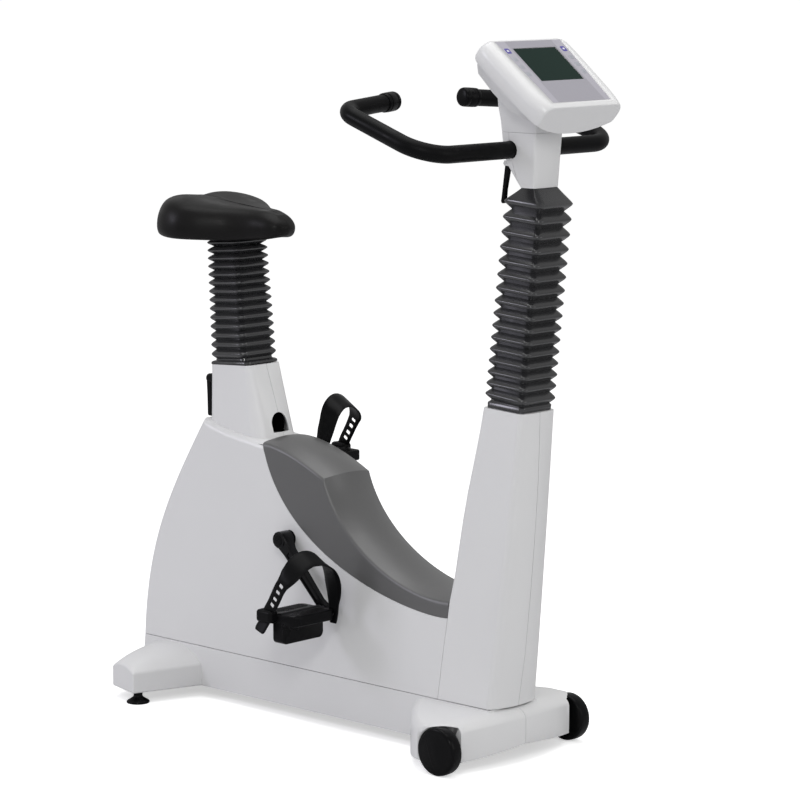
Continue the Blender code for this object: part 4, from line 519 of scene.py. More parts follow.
def soften(piece, width, segments, limit):
    """Round the edges that are sharper than the limit, and keep broad faces flat."""
    bevel = piece.modifiers.new("rounded_edges", "BEVEL")
    bevel.width = width
    bevel.segments = segments
    bevel.limit_method = "ANGLE"
    bevel.angle_limit = radians(limit)
    bevel.miter_outer = "MITER_ARC"
    bevel.use_clamp_overlap = True
    piece.data.shade_smooth()
    piece.modifiers.new("flat_faces", "WEIGHTED_NORMAL").keep_sharp = True
    return applied(piece)


def stand_for(piece, node):
    """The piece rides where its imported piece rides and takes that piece's finish."""
    slot = slot_of[node]
    coated(piece, slot)
    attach(piece, frame["nodes"][node]["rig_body"])
    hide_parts(node)
    print(piece.name, "has", len(piece.data.polygons), "faces")


def taken(piece):
    """The piece's mesh as a tool for a join or a cut; the piece itself goes."""
    bm = opened(piece)
    bpy.data.objects.remove(piece, do_unlink=True)
    return bm


def mirror_of(piece, name):
    """The same form on the other side of the middle plane."""
    mesh = piece.data.copy()
    mesh.transform(Matrix.Scale(-1, 4, (0, 1, 0)))
    mesh.flip_normals()
    return placed(name, mesh)


def refined(node, name, width, segments, limit, reshape=None):
    """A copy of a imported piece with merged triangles, whole flat faces and rounded edges."""
    bm = opened(frame["nodes"][node])
    bmesh.ops.remove_doubles(bm, verts=bm.verts, dist=2e-6)
    bmesh.ops.dissolve_limit(bm, angle_limit=radians(0.4), verts=bm.verts, edges=bm.edges)
    for vertex in bm.verts if reshape else ():
        vertex.co = reshape(vertex.co)
    stand_for(soften(new_object(name, bm), width, segments, limit), node)


# %% [markdown]
# ## Side covers
#
# The housing is one moulding a side: a broad flat wall with rounded rear and shoulder edges, and the seat
# tower growing out of it. It could be sculpted, but a block and a lofted tower, joined, hollowed and parted
# on the middle plane, give the exact shape of the tool that moulds it.

# %% Side cover shapes
GAP = 0.0003
SEAM_GAP = 0.0009
MIDDLE_GAP = 0.0009
HOUSING_HALF = 0.067
WALL = 0.0035
SEAM_Z = 0.103
CRANK_AXLE = Vector((-0.126, 0.0, 0.357))
CRANK_ARM = 0.170
CRANK_ANGLE = radians(-45.0)
AXLE_HOLE = 0.016
ARCH_HALF = 0.0215
ARCH_CENTRE_Z = 0.562
LEVER_HOLE = 0.0065
LEVER_Z = 0.635
REAR_EDGE = ((-0.556, SEAM_Z), (-0.545, 0.296), (-0.485, 0.397), (-0.372, 0.566))
SHOULDER_END = -0.2035
COVER_EDGE = ((-0.199, 0.530), (-0.145, 0.309), (0.205, 0.250), (0.293, 0.261))
COVER_BROW = ((-0.203, 0.535), (-0.182, 0.536), (-0.120, 0.526), (-0.037, 0.484))
COVER_SLOPE = ((-0.037, 0.484), (0.008, 0.353), (0.182, 0.282), (0.289, 0.292))
COLUMN_REAR = ((SEAM_Z, 0.264), (0.202, 0.279), (0.261, 0.289), (0.365, 0.302), (0.480, 0.319),
               (0.582, 0.341), (0.662, 0.357))
COLUMN_FRONT = ((SEAM_Z, 0.391), (0.657, 0.450))
COLUMN_NOSE = ((SEAM_Z, 0.406), (0.202, 0.422), (0.323, 0.435), (0.424, 0.444), (0.539, 0.452),
               (0.662, 0.455))


def tower_ring(height, inset):
    """A level outline of the seat tower; height runs from 0 at its foot to 1 at its top."""
    rear = mix(-0.3685, -0.3735, height) + inset
    front = mix(-0.222, -0.260, height) - inset
    half = mix(0.0570, 0.0452, height) - inset
    bulge = mix(0.027, 0.002, height)
    outline = rounded_box(rear, front, half, half, mix(0.022, 0.015, height) - inset / 2, bulge, 8, 10)
    rear_z, front_z = mix(0.500, 0.671, height), mix(0.500, 0.678, height)
    return [(x, y, mix(rear_z, front_z, (x - rear) / (front - rear))) for x, y in outline]


def round_level_edges(bm, ahead_limit, radius):
    """Round the edges across the machine that lie behind a limit."""
    rounded = []
    for edge in bm.edges:
        level = abs(edge.verts[0].co.y - edge.verts[1].co.y) < 1e-6
        if level and max(vertex.co.x for vertex in edge.verts) < ahead_limit:
            rounded.append(edge)
    bmesh.ops.bevel(bm, geom=rounded, offset=radius, segments=7, profile=0.5, affect="EDGES")
    return bm


def housing_block(inset):
    """The wide part of the housing, with its rear and shoulder edges rounded."""
    rear = shifted([curve_point(REAR_EDGE, step / 28) for step in range(29)], -inset)
    rear[0] = (rear[0][0], SEAM_Z - 0.02 if inset else SEAM_Z + SEAM_GAP)
    outline = rear + [(-0.340, 0.5565 - inset), (-0.304, 0.5480 - inset), (-0.2040, 0.5345 - inset)]
    if inset:
        outline += [(-0.15, 0.60), (0.36, 0.50), (0.36, SEAM_Z - 0.02)]
    else:
        outline += [curve_point(COVER_EDGE, step / 40) for step in range(1, 40)]
        outline += [(read_at(COLUMN_REAR, z) - GAP, z) for z in (0.2604, 0.202, SEAM_Z + SEAM_GAP)]
    half = HOUSING_HALF - inset
    return round_level_edges(drawn_out(outline, -half, half, "Y"), SHOULDER_END, 0.014 - inset)


def left_half():
    """All that lies left of the middle seam."""
    return box((-1, -MIDDLE_GAP / 2, -1), (1, 1, 2))


# %% Side covers, right and left
panel = new_object("side_cover_right", housing_block(0))
join(panel, skin([tower_ring(step / 6, 0) for step in range(7)]))
arch = [(-ARCH_HALF, 0.548), (ARCH_HALF, 0.548)] + arc((0, ARCH_CENTRE_Z), ARCH_HALF, 0, 180, 24)
arch = [(y, z if z < 0.563 else ARCH_CENTRE_Z + (z - ARCH_CENTRE_Z) * 1.1) for y, z in arch]
cut(panel, housing_block(WALL))
cut(panel, skin([tower_ring(*place) for place in ((0, WALL), (0.5, WALL), (0.982, WALL), (0.982, 0.009),
                                                  (1.06, 0.009))]), drawn_out(arch, -0.245, -0.19, "X"))
across = Vector((0, 0.1, 0))
cut(panel, bar_between(AXLE_HOLE, CRANK_AXLE - across, CRANK_AXLE + across, 48),
    bar_between(LEVER_HOLE, (-0.40, 0, LEVER_Z), (-0.35, 0, LEVER_Z), 24), left_half())
soften(panel, 0.0012, 3, 24.0)
panel_left = mirror_of(panel, "side_cover_left")
stand_for(panel, "body_panel_right")
stand_for(panel_left, "body_panel_left")

# %% [markdown]
# ## Gray top cover
#
# The gray moulding over the pedal area has an upright skirt and a crowned top that turns down over a soft
# crease. Its cross-sections change all along, so it is a skin over many of them, with an inner wall.

# %% Gray top cover
BROW_SHARE = 0.2
BROW_STEPS = 12
SLOPE_STEPS = 36
CROWN = 0.012
CREASE_END = 0.0575
CREASE = ((0.0653, -0.0068), (0.0647, -0.0042), (0.0636, -0.0021), (0.0620, -0.0006), (0.0600, 0.0004),
          (CREASE_END, 0.0012))


def cover_section(foot, ridge, crown):
    """One cross-section: skirt, small rounding, crowned top, and the same on the inside."""
    up = (ridge - foot).normalized()
    foot = foot + up * GAP * 2
    height = (ridge - foot).length
    outer = [(HOUSING_HALF, 0.0), (0.0668, height * 0.2), (0.0664, height * 0.5), (0.0657, height * 0.76)]
    outer += [(y, height + rise) for y, rise in CREASE]
    for step in range(1, 11):
        y = CREASE_END * (1 - step / 10)
        outer.append((y, height + mix(CREASE[-1][1], crown, 1 - (y / CREASE_END) ** 2)))
    inner = [(y * (HOUSING_HALF - WALL) / HOUSING_HALF, max(h - WALL, 0.0)) for y, h in outer]
    profile = [(-y, h) for y, h in outer] + [(y, h) for y, h in reversed(outer[:-1])]
    profile += [(y, h) for y, h in inner] + [(-y, h) for y, h in reversed(inner[:-1])]
    return [(foot.x + up.x * h, y, foot.y + up.y * h) for y, h in profile]


sections = []
for step in range(BROW_STEPS + 1):
    share = step / BROW_STEPS
    foot = Vector(curve_point(COVER_EDGE, BROW_SHARE * mix(0.16, 1.0, share)))
    sections.append(cover_section(foot, Vector(curve_point(COVER_BROW, share)),
                                  CROWN * min(1.0, 0.55 + 2 * share)))
for step in range(1, SLOPE_STEPS + 1):
    share = step / SLOPE_STEPS
    foot = Vector(curve_point(COVER_EDGE, mix(BROW_SHARE, 1.0, share)))
    sections.append(cover_section(foot, Vector(curve_point(COVER_SLOPE, share)), CROWN))
top_cover = new_object("gray_top_cover", skin(sections))
front_face = [(read_at(COLUMN_REAR, z) - GAP, z) for z in (SEAM_Z, 0.261, 0.365)]
cut(top_cover, drawn_out(front_face + [(0.4, 0.365), (0.4, SEAM_Z)], -0.1, 0.1, "Y"))
stand_for(soften(top_cover, 0.0010, 2, 40.0), "top_cover")

# %% [markdown]
# ## Column covers
#
# The column is two halves of a leaning box whose front bows to a nose where they meet. Level outlines at a
# dozen heights give the lean and the taper together.

# %% Column covers
REAR_OPENING = ((0.2, -0.0630, 0.08), (0.3100, 0.0630, 0.290))
MAINS_OPENING = ((0.318, 0.050, 0.128), (0.346, 0.080, 0.186))


def column_ring(z, inset):
    """A level outline of the column, whose sides draw together towards its front."""
    rear = read_at(COLUMN_REAR, z) + inset
    front = read_at(COLUMN_FRONT, z) - inset
    nose = read_at(COLUMN_NOSE, z) - inset
    half_rear = read_at(((0.1, HOUSING_HALF), (0.27, HOUSING_HALF), (0.662, 0.0475)), z) - inset
    half_front = mix(0.066, 0.0475, (z - SEAM_Z) / (0.657 - SEAM_Z)) - inset
    corner = 0.0075 - inset / 2
    rear_corner = read_at(((0.1, 0.0012), (0.292, 0.0012), (0.345, 0.009), (0.7, 0.009)), z)
    skewed = []
    for x, y in rounded_box(rear, front, half_rear, half_front, corner, nose - front, 8, 10, rear_corner):
        if rear + corner < x <= front - corner:
            y *= mix(1.0, half_front / half_rear, held((x - rear) / (front - rear)))
        skewed.append((x, y, z))
    return skewed


def column_lid(x):
    """Height of the column cover's top, which falls a little towards the front."""
    return mix(0.662, 0.657, (x - 0.357) / 0.098)


def lid_ring(inset, rise):
    return [(x, y, column_lid(x) + rise) for x, y, _ in column_ring(0.657, inset)]


heights = (0.150, 0.202, 0.261, 0.292, 0.305, 0.320, 0.345, 0.400, 0.450, 0.500, 0.530, 0.580, 0.620)
column = new_object("column_shell_right", skin([column_ring(z, 0) for z in (SEAM_Z + SEAM_GAP, *heights)]
                                               + [lid_ring(0, 0)]))
cut(column, skin([column_ring(z, WALL) for z in (0.09, *heights)]
                 + [lid_ring(WALL, -WALL), lid_ring(0.010, -WALL), lid_ring(0.010, 0.02)]))
cut(column, box(*REAR_OPENING), left_half())
column_left = mirror_of(column, "column_shell_left")
cut(column_left, box(*MAINS_OPENING))
stand_for(soften(column, 0.0012, 3, 24.0), "column_cover_right")
stand_for(soften(column_left, 0.0008, 2, 30.0), "column_cover_left")

# %% [markdown]
# ## Base covers and feet
#
# The base is a shallow tray whose two ends grow into feet. Each foot is a skin over cross-sections that run
# outwards: the front one has a domed top that falls into an upright face, the rear one a dome that dies
# away. They are softened on their own, because a bevel works best before anything is joined.

# %% Foot sections
BASE_BOTTOM = 0.022
CUTTER_BOTTOM = -0.03
BASE_REACH = 0.5588
BASE_FRONT = 0.395
FRONT_FOOT = ((0.0, 0.199, 0.425, 0.034, 0.1025), (0.055, 0.201, 0.4205, 0.029, 0.1015),
              (0.100, 0.229, 0.412, 0.0245, 0.0990), (0.140, 0.264, 0.403, 0.022, 0.0965),
              (0.168, 0.291, 0.3985, 0.022, 0.0940), (0.182, 0.311, 0.3955, 0.022, 0.0918),
              (0.1880, 0.326, 0.3925, 0.022, 0.0885))
FRONT_EDGE = ((0.034, 0.0), (0.025, 0.0010), (0.0165, 0.0034), (0.0098, 0.0068), (0.0048, 0.0108),
              (0.0015, 0.0152), (0.0, 0.0205))
REAR_ROUNDING = 0.022


def front_foot(inset, reach=1.0):
    """The right half of the front foot, as sections that run outwards."""
    rings = []
    for out, rear, front, low, high in smooth_route(FRONT_FOOT, 5):
        if out > reach:
            break
        rear, front, high = rear + inset, front - inset, high - inset
        low = CUTTER_BOTTOM if inset else low
        ring = [(rear, low), (rear, mix(low, high - REAR_ROUNDING, 0.5))]
        ring += arc((rear + REAR_ROUNDING, high - REAR_ROUNDING), REAR_ROUNDING, 180, 90, 7)
        ring.append((mix(rear + REAR_ROUNDING, front - FRONT_EDGE[0][0], 0.5), high))
        ring += [(front - back, high - drop) for back, drop in FRONT_EDGE]
        ring += [(front, mix(high - 0.028, low, 0.5)), (front - 0.0005, low)]
        rings.append([(x, -out, z) for x, z in ring])
    return skin(rings)


def rear_foot(inset):
    """The right rear foot: upright sides under a dome that dies away towards the end."""
    rings = []
    for step in range(15):
        share = step / 14
        end_inset = inset if step == 14 else 0
        front = Vector((mix(-0.376, -0.426, share) - inset, end_inset - mix(0.050, 0.210, share)))
        rear = Vector((mix(-0.556, -0.511, share) + inset, end_inset - mix(0.050, 0.189, share)))
        wall_top = mix(0.066, 0.063, share) - inset
        dome = 0.004 + 0.031 * sqrt(max(0.0, 1 - (0.98 * share) ** 2.2))
        low = CUTTER_BOTTOM if inset else BASE_BOTTOM
        ring = [(front.x, front.y, low)]
        for part in (k / 18 for k in range(19)):
            place = front.lerp(rear, part)
            ring.append((place.x, place.y, wall_top + dome * (1 - abs(2 * part - 1) ** 2.4)))
        ring.append((rear.x, rear.y, low))
        rings.append(ring)
    return skin(rings)


def base_tray(inset):
    """The shallow tray; as a cutter it runs out through the bottom and the top."""
    low = BASE_BOTTOM - (0.05 if inset else 0)
    high = SEAM_Z - GAP + (0.02 if inset else 0)
    outline = [(-BASE_REACH + inset, low), (-BASE_REACH + inset, 0.077), (-0.5555 + inset, SEAM_Z - GAP)]
    outline += [(-0.5555 + inset, high)] if inset else []
    outline += [(BASE_FRONT - inset, high), (BASE_FRONT - inset, low)]
    bm = drawn_out(outline, inset - HOUSING_HALF, HOUSING_HALF - inset, "Y")
    return round_level_edges(bm, -0.5, 0.0135 - inset)


# %% Base covers, right and left
WHEEL_HUB = Vector((0.374, 0.180, 0.045))
POCKET_RADIUS = 0.0463
POCKET_OUT, POCKET_IN = -0.210, -0.151
WHEEL_AXLE_HOLE = 0.0075
base = new_object("base_shell_right", base_tray(0))
for foot, width in ((front_foot(0), 0.0040), (rear_foot(0), 0.0036)):
    join(base, taken(soften(new_object("foot", foot), width, 4, 32.0)))
cut(base, base_tray(WALL), front_foot(WALL, 0.14), rear_foot(WALL))
x, z = WHEEL_HUB.x, WHEEL_HUB.z
cut(base, bar_between(POCKET_RADIUS, (x, -0.215, z), (x, POCKET_IN, z), 72),
    box((x, POCKET_OUT, -0.02), (0.45, POCKET_IN, 0.083)),
    box((x - 0.035, POCKET_OUT, -0.02), (x + 0.02, POCKET_IN, 0.045)),
    bar_between(WHEEL_AXLE_HOLE, (x, -0.16, z), (x, -0.13, z), 24), left_half())
shaded(base, 32)
base_left = mirror_of(base, "base_shell_left")
stand_for(base, "base_cover_right")
stand_for(base_left, "base_cover_left")

# %% [markdown]
# ## Column head and small hard pieces
#
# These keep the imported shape, which is right already. Only their edges are too crisp, so each gets a copy
# with rounded edges. The head is a little fuller than its packed shells, so its copy is stretched, and so
# is the console's tray, whose slope is that of the whole console.

# %% Refined copies
HEAD_MIDDLE = 0.431
HEAD_DEEPER, HEAD_WIDER = 0.05, 0.09
SWIVEL_AXIS_X = 0.430
SWIVEL_SEAT = 0.0215
SADDLE_MIDDLE = -0.345
CONSOLE_REAR_EDGE = Vector((0.411, 0.0, 1.334))
CONSOLE_DOWN = Vector((0.784, 0.0, -0.622)).normalized()
CONSOLE_UP = Vector((0.622, 0.0, 0.784)).normalized()


def fuller_head(point, amount=1.0):
    """A little wider and deeper, but for the round swivel seat, which has to stay round."""
    if hypot(point.x - SWIVEL_AXIS_X, point.y) < SWIVEL_SEAT:
        return point.copy()
    x = point.x + max(point.x - HEAD_MIDDLE, 0.0) * HEAD_DEEPER * amount
    return Vector((x, point.y * (1 + HEAD_WIDER * amount), point.z))


def fuller_tray(point):
    """The console's tray comes out flush with its top; the neck below it is stretched like the head."""
    off = point - CONSOLE_REAR_EDGE
    along, height = off.dot(CONSOLE_DOWN), off.dot(CONSOLE_UP)
    tray = held((height + 0.086) / 0.016)
    moved = fuller_head(point, held((1.25 - point.z) / 0.05) * (1 - tray))
    moved.y *= mix(1.0, 1.175, tray)
    return moved - CONSOLE_DOWN * 0.0075 * tray * held((0.05 - along) / 0.036)


def closer_lever(point):
    """The lever's hand side lies nearer to the tower."""
    return Vector((point.x - min(point.x + 0.368, 0.0) * 0.15, point.y, point.z))


def raised_plate(point):
    """A little smaller and higher, so that only the cushion shows from the side."""
    return Vector((SADDLE_MIDDLE + (point.x - SADDLE_MIDDLE) * 0.74, point.y * 0.80, point.z + 0.0050))


for word in ("right", "left"):
    refined("crank_arm_" + word, "crank_" + word, 0.0008, 2, 35.0)
    refined("crank_cap_" + word, "axle_cap_" + word, 0.0004, 2, 35.0)
for shell in ("front", "rear"):
    refined("head_shell_" + shell, "head_half_" + shell, 0.0008, 2, 35.0, fuller_head)
refined("console_base", "console_tray", 0.0022, 3, 30.0, fuller_tray)
refined("handlebar_lever", "head_lever", 0.0006, 2, 40.0)
refined("seat_lever", "tower_lever", 0.0010, 2, 40.0, closer_lever)
refined("power_inlet", "mains_module", 0.0004, 2, 40.0)
refined("power_switch", "mains_rocker", 0.0006, 2, 40.0)
refined("saddle_base", "saddle_plate", 0.0008, 2, 40.0, raised_plate)

# %% [markdown]
# ## Bellows
#
# Both posts slide inside rubber bellows: square hoses whose ribs repeat at a steady or slowly growing
# pitch. That is a rule, so Geometry Nodes make them. A line is sampled, its points are spaced by the growth,
# its radius follows the rib wave, and a rounded square is swept along it. The result is turned into a plain
# mesh and gets its collar.

# %% Bellows tree
sockets = {"Start": "Vector", "End": "Vector", "Ribs": "Int", "Steps": "Int", "Finish": "Material"}
for label in ("Root Low", "Root High", "Crest Low", "Crest High", "Rounding", "Growth", "Growth Power",
              "Corner"):
    sockets[label] = "Float"
hose_tree, given, result = new_tree("ribbed_hose", "GeometryNodeTree", sockets, {"Hose": "Geometry"})


def calc(operation, first, second=0.0):
    return add_node(hose_tree, "ShaderNodeMath", {0: first, 1: second}, operation=operation).outputs[0]


def softened(value):
    """Square root of value squared plus rounding squared: a fold without its sharp tip."""
    square = calc("MULTIPLY", value, value)
    return calc("SQRT", calc("ADD", square, calc("MULTIPLY", given["Rounding"], given["Rounding"])))


def from_to(low, high, share):
    return calc("ADD", low, calc("MULTIPLY", share, calc("SUBTRACT", high, low)))


def finished(tree, geometry, finish, result):
    """The tree's last steps: real geometry with its finish on."""
    real = add_node(tree, "GeometryNodeRealizeInstances", {0: geometry})
    dressed = add_node(tree, "GeometryNodeSetMaterial", {"Geometry": real.outputs[0], "Material": finish})
    tree.links.new(dressed.outputs[0], result[0])
    print(tree.name, "has", len(tree.nodes), "nodes")


line = add_node(hose_tree, "GeometryNodeCurvePrimitiveLine", {"Start": given["Start"], "End": given["End"]})
samples = calc("ADD", calc("MULTIPLY", given["Ribs"], given["Steps"]), 1.0)
sampled = add_node(hose_tree, "GeometryNodeResampleCurve", {"Curve": line.outputs[0], "Count": samples})
index = add_node(hose_tree, "GeometryNodeInputIndex").outputs[0]
share = calc("DIVIDE", index, calc("SUBTRACT", samples, 1.0))
phase = calc("FRACT", calc("DIVIDE", index, given["Steps"]))
swing = calc("SUBTRACT", calc("MULTIPLY", phase, 2.0), 1.0)
wave = calc("DIVIDE", calc("SUBTRACT", softened(1.0), softened(swing)),
            calc("SUBTRACT", softened(1.0), given["Rounding"]))
radius = from_to(from_to(given["Root Low"], given["Root High"], share),
                 from_to(given["Crest Low"], given["Crest High"], share), wave)
bowed = calc("SUBTRACT", calc("POWER", share, given["Growth Power"]), share)
slack = calc("MULTIPLY", bowed, given["Growth"])
span = add_node(hose_tree, "ShaderNodeVectorMath", {0: given["End"], 1: given["Start"]}, operation="SUBTRACT")
shift = add_node(hose_tree, "ShaderNodeVectorMath", {0: span.outputs[0], "Scale": slack}, operation="SCALE")
spaced = add_node(hose_tree, "GeometryNodeSetPosition", {"Geometry": sampled.outputs[0],
                                                         "Offset": shift.outputs[0]})
ribbed = add_node(hose_tree, "GeometryNodeSetCurveRadius", {"Curve": spaced.outputs[0], "Radius": radius})
square = add_node(hose_tree, "GeometryNodeCurvePrimitiveQuadrilateral", {"Width": 2.0, "Height": 2.0})
rounded = add_node(hose_tree, "GeometryNodeFilletCurve", {"Curve": square.outputs[0], "Count": 6,
                                                          "Radius": given["Corner"]}, mode="POLY")
swept = add_node(hose_tree, "GeometryNodeCurveToMesh", {"Curve": ribbed.outputs[0],
                                                        "Profile Curve": rounded.outputs[0]})
if "Scale" in swept.inputs:
    hose_tree.links.new(radius, swept.inputs["Scale"])
finished(hose_tree, swept.outputs[0], given["Finish"], result)


# %% Bellows maker
RUBBER_WALL = 0.0010
LEAN_RUN = 0.03


def tree_piece(name, tree, values):
    """A plain mesh object made by a geometry tree with these named inputs."""
    piece = placed(name, bpy.data.meshes.new(name))
    modifier = piece.modifiers.new(name, "NODES")
    modifier.node_group = tree
    for item in tree.interface.items_tree:
        if item.in_out == "INPUT" and item.name in values:
            modifier[item.identifier] = values[item.name]
    return applied(piece)


def hose(name, node, start, end, values, collar, tuck):
    """Ribs from the tree, a collar, and a last fold that closes in.

    The tuck is the fold's length, its two shares, its lift, and how far the ribs lean against their axis.
    """
    axis = (end - start).normalized()
    piece = tree_piece(name, hose_tree, {"Start": start, "End": end, "Finish": finishes["bellows_rubber"],
                                         **values})
    length = (end - start).length
    ahead = Vector((axis.z, 0, -axis.x))
    fold, ahead_share, side_share, lift, lean = tuck
    for vertex in piece.data.vertices:
        reach = (vertex.co - start).dot(axis)
        tilt = (vertex.co - start).dot(ahead) * lean * min(reach / LEAN_RUN, 1.0)
        if reach > length - fold:
            share = (reach - length + fold) / fold
            centre = start + axis * reach
            off = vertex.co - centre
            forward = ahead * off.dot(ahead) * mix(1.0, ahead_share, share)
            sideways = Vector((0, off.y * mix(1.0, side_share, share), 0))
            vertex.co = centre + forward + sideways + axis * lift * share
            tilt = tilt * mix(1.0, ahead_share, share)
        vertex.co = vertex.co + axis * tilt
    wall = piece.modifiers.new("rubber_wall", "SOLIDIFY")
    wall.thickness = RUBBER_WALL
    wall.offset = -1.0
    bm = opened(applied(piece))
    bmesh.ops.remove_doubles(bm, verts=bm.verts, dist=1e-6)
    other = bpy.data.meshes.new("collar")
    collar.to_mesh(other)
    collar.free()
    bm.from_mesh(other)
    bmesh.ops.recalc_face_normals(bm, faces=bm.faces)
    bm.to_mesh(piece.data)
    bm.free()
    shaded(coated(piece, "bellows_rubber"), 50)
    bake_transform(piece)
    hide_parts(node)
    print(name, "has", len(piece.data.polygons), "faces")


# %% Seat bellows and column bellows
SEAT_AXIS = Vector((-0.078, 0.0, 1.0)).normalized()
SEAT_FOOT = Vector((-0.320, 0.0, 0.680)) - SEAT_AXIS * 0.0052
COLUMN_AXIS = Vector((0.1165, 0.0, 1.0)).normalized()
COLUMN_FOOT = Vector((0.404, 0.0, 0.6596))


def collar_solid(base, axis, levels, lid=None):
    """A low square collar: (distance, half depth, half width, corner) from its foot up."""
    side = Vector((axis.z, 0, -axis.x))
    rings = []
    for distance, half_x, half_y, corner in levels:
        ring = []
        for x, y in rounded_box(-half_x, half_x, half_y, half_y, corner, 0, 6, 1):
            point = base + axis * distance + side * x + Vector((0, y, 0))
            if lid:
                point = point + axis * ((lid(point.x) + distance - point.z) / axis.z)
            ring.append(point)
        rings.append(ring)
    return skin(rings, loop=True)


seat_collar = collar_solid(SEAT_FOOT, SEAT_AXIS, (
    (0.0003, 0.0533, 0.0440, 0.010), (0.0010, 0.0543, 0.0450, 0.011), (0.0050, 0.0540, 0.0447, 0.011),
    (0.0068, 0.0505, 0.0432, 0.011), (0.0080, 0.0440, 0.0415, 0.012), (0.0122, 0.0422, 0.0405, 0.010),
    (0.0122, 0.0330, 0.0330, 0.008), (0.0006, 0.0330, 0.0330, 0.008)))
hose("seat_sleeve", "seat_bellows", SEAT_FOOT + SEAT_AXIS * 0.0115, SEAT_FOOT + SEAT_AXIS * 0.2485,
     {"Ribs": 14, "Steps": 14, "Root Low": 0.0418, "Root High": 0.0352, "Crest Low": 0.0496,
      "Crest High": 0.0456, "Rounding": 0.40, "Growth": -0.11, "Growth Power": 2.0, "Corner": 0.30},
     seat_collar, (0.008, 1.0, 1.0, 0.0, 0.0))
column_collar = collar_solid(COLUMN_FOOT, COLUMN_AXIS, (
    (0.0003, 0.0430, 0.0420, 0.008), (0.0010, 0.0440, 0.0430, 0.009), (0.0095, 0.0445, 0.0430, 0.009),
    (0.0112, 0.0430, 0.0415, 0.009), (0.0130, 0.0412, 0.0405, 0.010), (0.0145, 0.0400, 0.0395, 0.008),
    (0.0145, 0.0310, 0.0310, 0.008), (0.0006, 0.0310, 0.0310, 0.008)), column_lid)
hose("column_sleeve", "column_bellows", COLUMN_FOOT + COLUMN_AXIS * 0.0140,
     COLUMN_FOOT + COLUMN_AXIS * 0.3975,
     {"Ribs": 16, "Steps": 14, "Root Low": 0.0405, "Root High": 0.0356, "Crest Low": 0.0492,
      "Crest High": 0.0474, "Rounding": 0.22, "Growth": 0.13, "Growth Power": 3.0, "Corner": 0.26},
     column_collar, (0.0150, 0.46, 0.90, 0.0125, 0.046))

# %% [markdown]
# ## Saddle
#
# The saddle is foam moulded with its own skin: two thigh lobes behind, a channel between them, and a lower
# nose. A cloth simulation suits a stuffed cover, but this skin has no slack, so the form is lofted from its
# plan outline and rounded by a Subdivision Surface.

# %% Saddle plan and height
SADDLE_PLAN = ((-0.460, 0.000), (-0.468, 0.022), (-0.4755, 0.050), (-0.4725, 0.081), (-0.454, 0.109),
               (-0.420, 0.1265), (-0.385, 0.1275), (-0.354, 0.114), (-0.325, 0.092), (-0.298, 0.069),
               (-0.268, 0.051), (-0.240, 0.043), (-0.216, 0.037), (-0.199, 0.025), (-0.191, 0.000))
CREST = ((-0.48, 0.9975), (-0.455, 1.0015), (-0.43, 1.0015), (-0.40, 0.9985), (-0.36, 0.9925),
         (-0.32, 0.9875), (-0.28, 0.9845), (-0.24, 0.9815), (-0.215, 0.9745), (-0.19, 0.9640))
WIDEST = ((-0.48, 0.9430), (-0.40, 0.9405), (-0.30, 0.9395), (-0.22, 0.9460), (-0.19, 0.9490))
UNDERSIDE = ((-0.48, 0.9275), (-0.40, 0.9235), (-0.30, 0.9210), (-0.22, 0.9275), (-0.19, 0.9345))
RIM_RADIUS = ((-0.48, 0.036), (-0.33, 0.036), (-0.24, 0.027), (-0.19, 0.024))
SPINE_X = ((-0.48, -0.435), (-0.42, -0.405), (-0.36, -0.355), (-0.24, -0.240), (-0.18, -0.215))
SPINE_SHARE = ((-0.48, 0.42), (-0.42, 0.42), (-0.33, 0.10), (-0.18, 0.05))
LOBE_START, LOBE_RUN = -0.34, 0.09
LOBE_HEIGHT = 0.0035
LOBE_MIDDLE = 0.062


def saddle_outline(inset):
    """The whole plan outline of the saddle, drawn in by an inset."""
    half = [(p.x, p.y) for p in smooth_route([(x, y, 0) for x, y in SADDLE_PLAN], 4)]
    return shifted(half + [(x, -y) for x, y in reversed(half[1:-1])], -inset, closed=True)


def saddle_crest(x, y):
    """Height of the top away from its rounded rim: two thigh lobes behind, a channel, a nose."""
    rear = held((LOBE_START - x) / LOBE_RUN)
    return read_at(CREST, x) + LOBE_HEIGHT * rear * sin(min(abs(y) / LOBE_MIDDLE, 1.5) * pi / 2) ** 2


# %% Saddle cushion
outer = saddle_outline(0)
rings = []
for inset, rise in ((0.0170, 0.0010), (0.0120, 0.0), (0.0060, 0.0012), (0.0018, 0.0055)):
    rings.append([(x, y, read_at(UNDERSIDE, x) + rise) for x, y in saddle_outline(inset)])
rings.append([(x, y, read_at(WIDEST, x)) for x, y in outer])
for inward in (0.0008, 0.0026, 0.0055, 0.0100, 0.0160, 0.0230):
    ring = []
    for x, y in outer:
        to_spine = Vector((read_at(SPINE_X, x) - x, y * read_at(SPINE_SHARE, x) - y))
        move = to_spine.normalized() * inward
        rim = min(inward / read_at(RIM_RADIUS, x), 1.0)
        high = saddle_crest(x + move.x, y + move.y)
        ring.append((x + move.x, y + move.y, mix(read_at(WIDEST, x), high, sqrt(1 - (1 - rim) ** 2))))
    rings.append(ring)
for share, narrow in ((0.62, 1.0), (0.82, 1.0), (1.0, 1.0), (1.0, 0.6), (1.0, 0.25), (1.0, 0.04)):
    ring = []
    for x, y in outer:
        spine = Vector((read_at(SPINE_X, x), y * read_at(SPINE_SHARE, x) * narrow))
        point = Vector((x, y)).lerp(spine, share)
        ring.append((point.x, point.y, saddle_crest(point.x, point.y)))
    rings.append(ring)
cushion = new_object("saddle_cushion", skin(rings))
relax = cushion.modifiers.new("even_skin", "SMOOTH")
relax.factor = 0.5
relax.iterations = 4
rounding = cushion.modifiers.new("rounding", "SUBSURF")
rounding.levels = 2
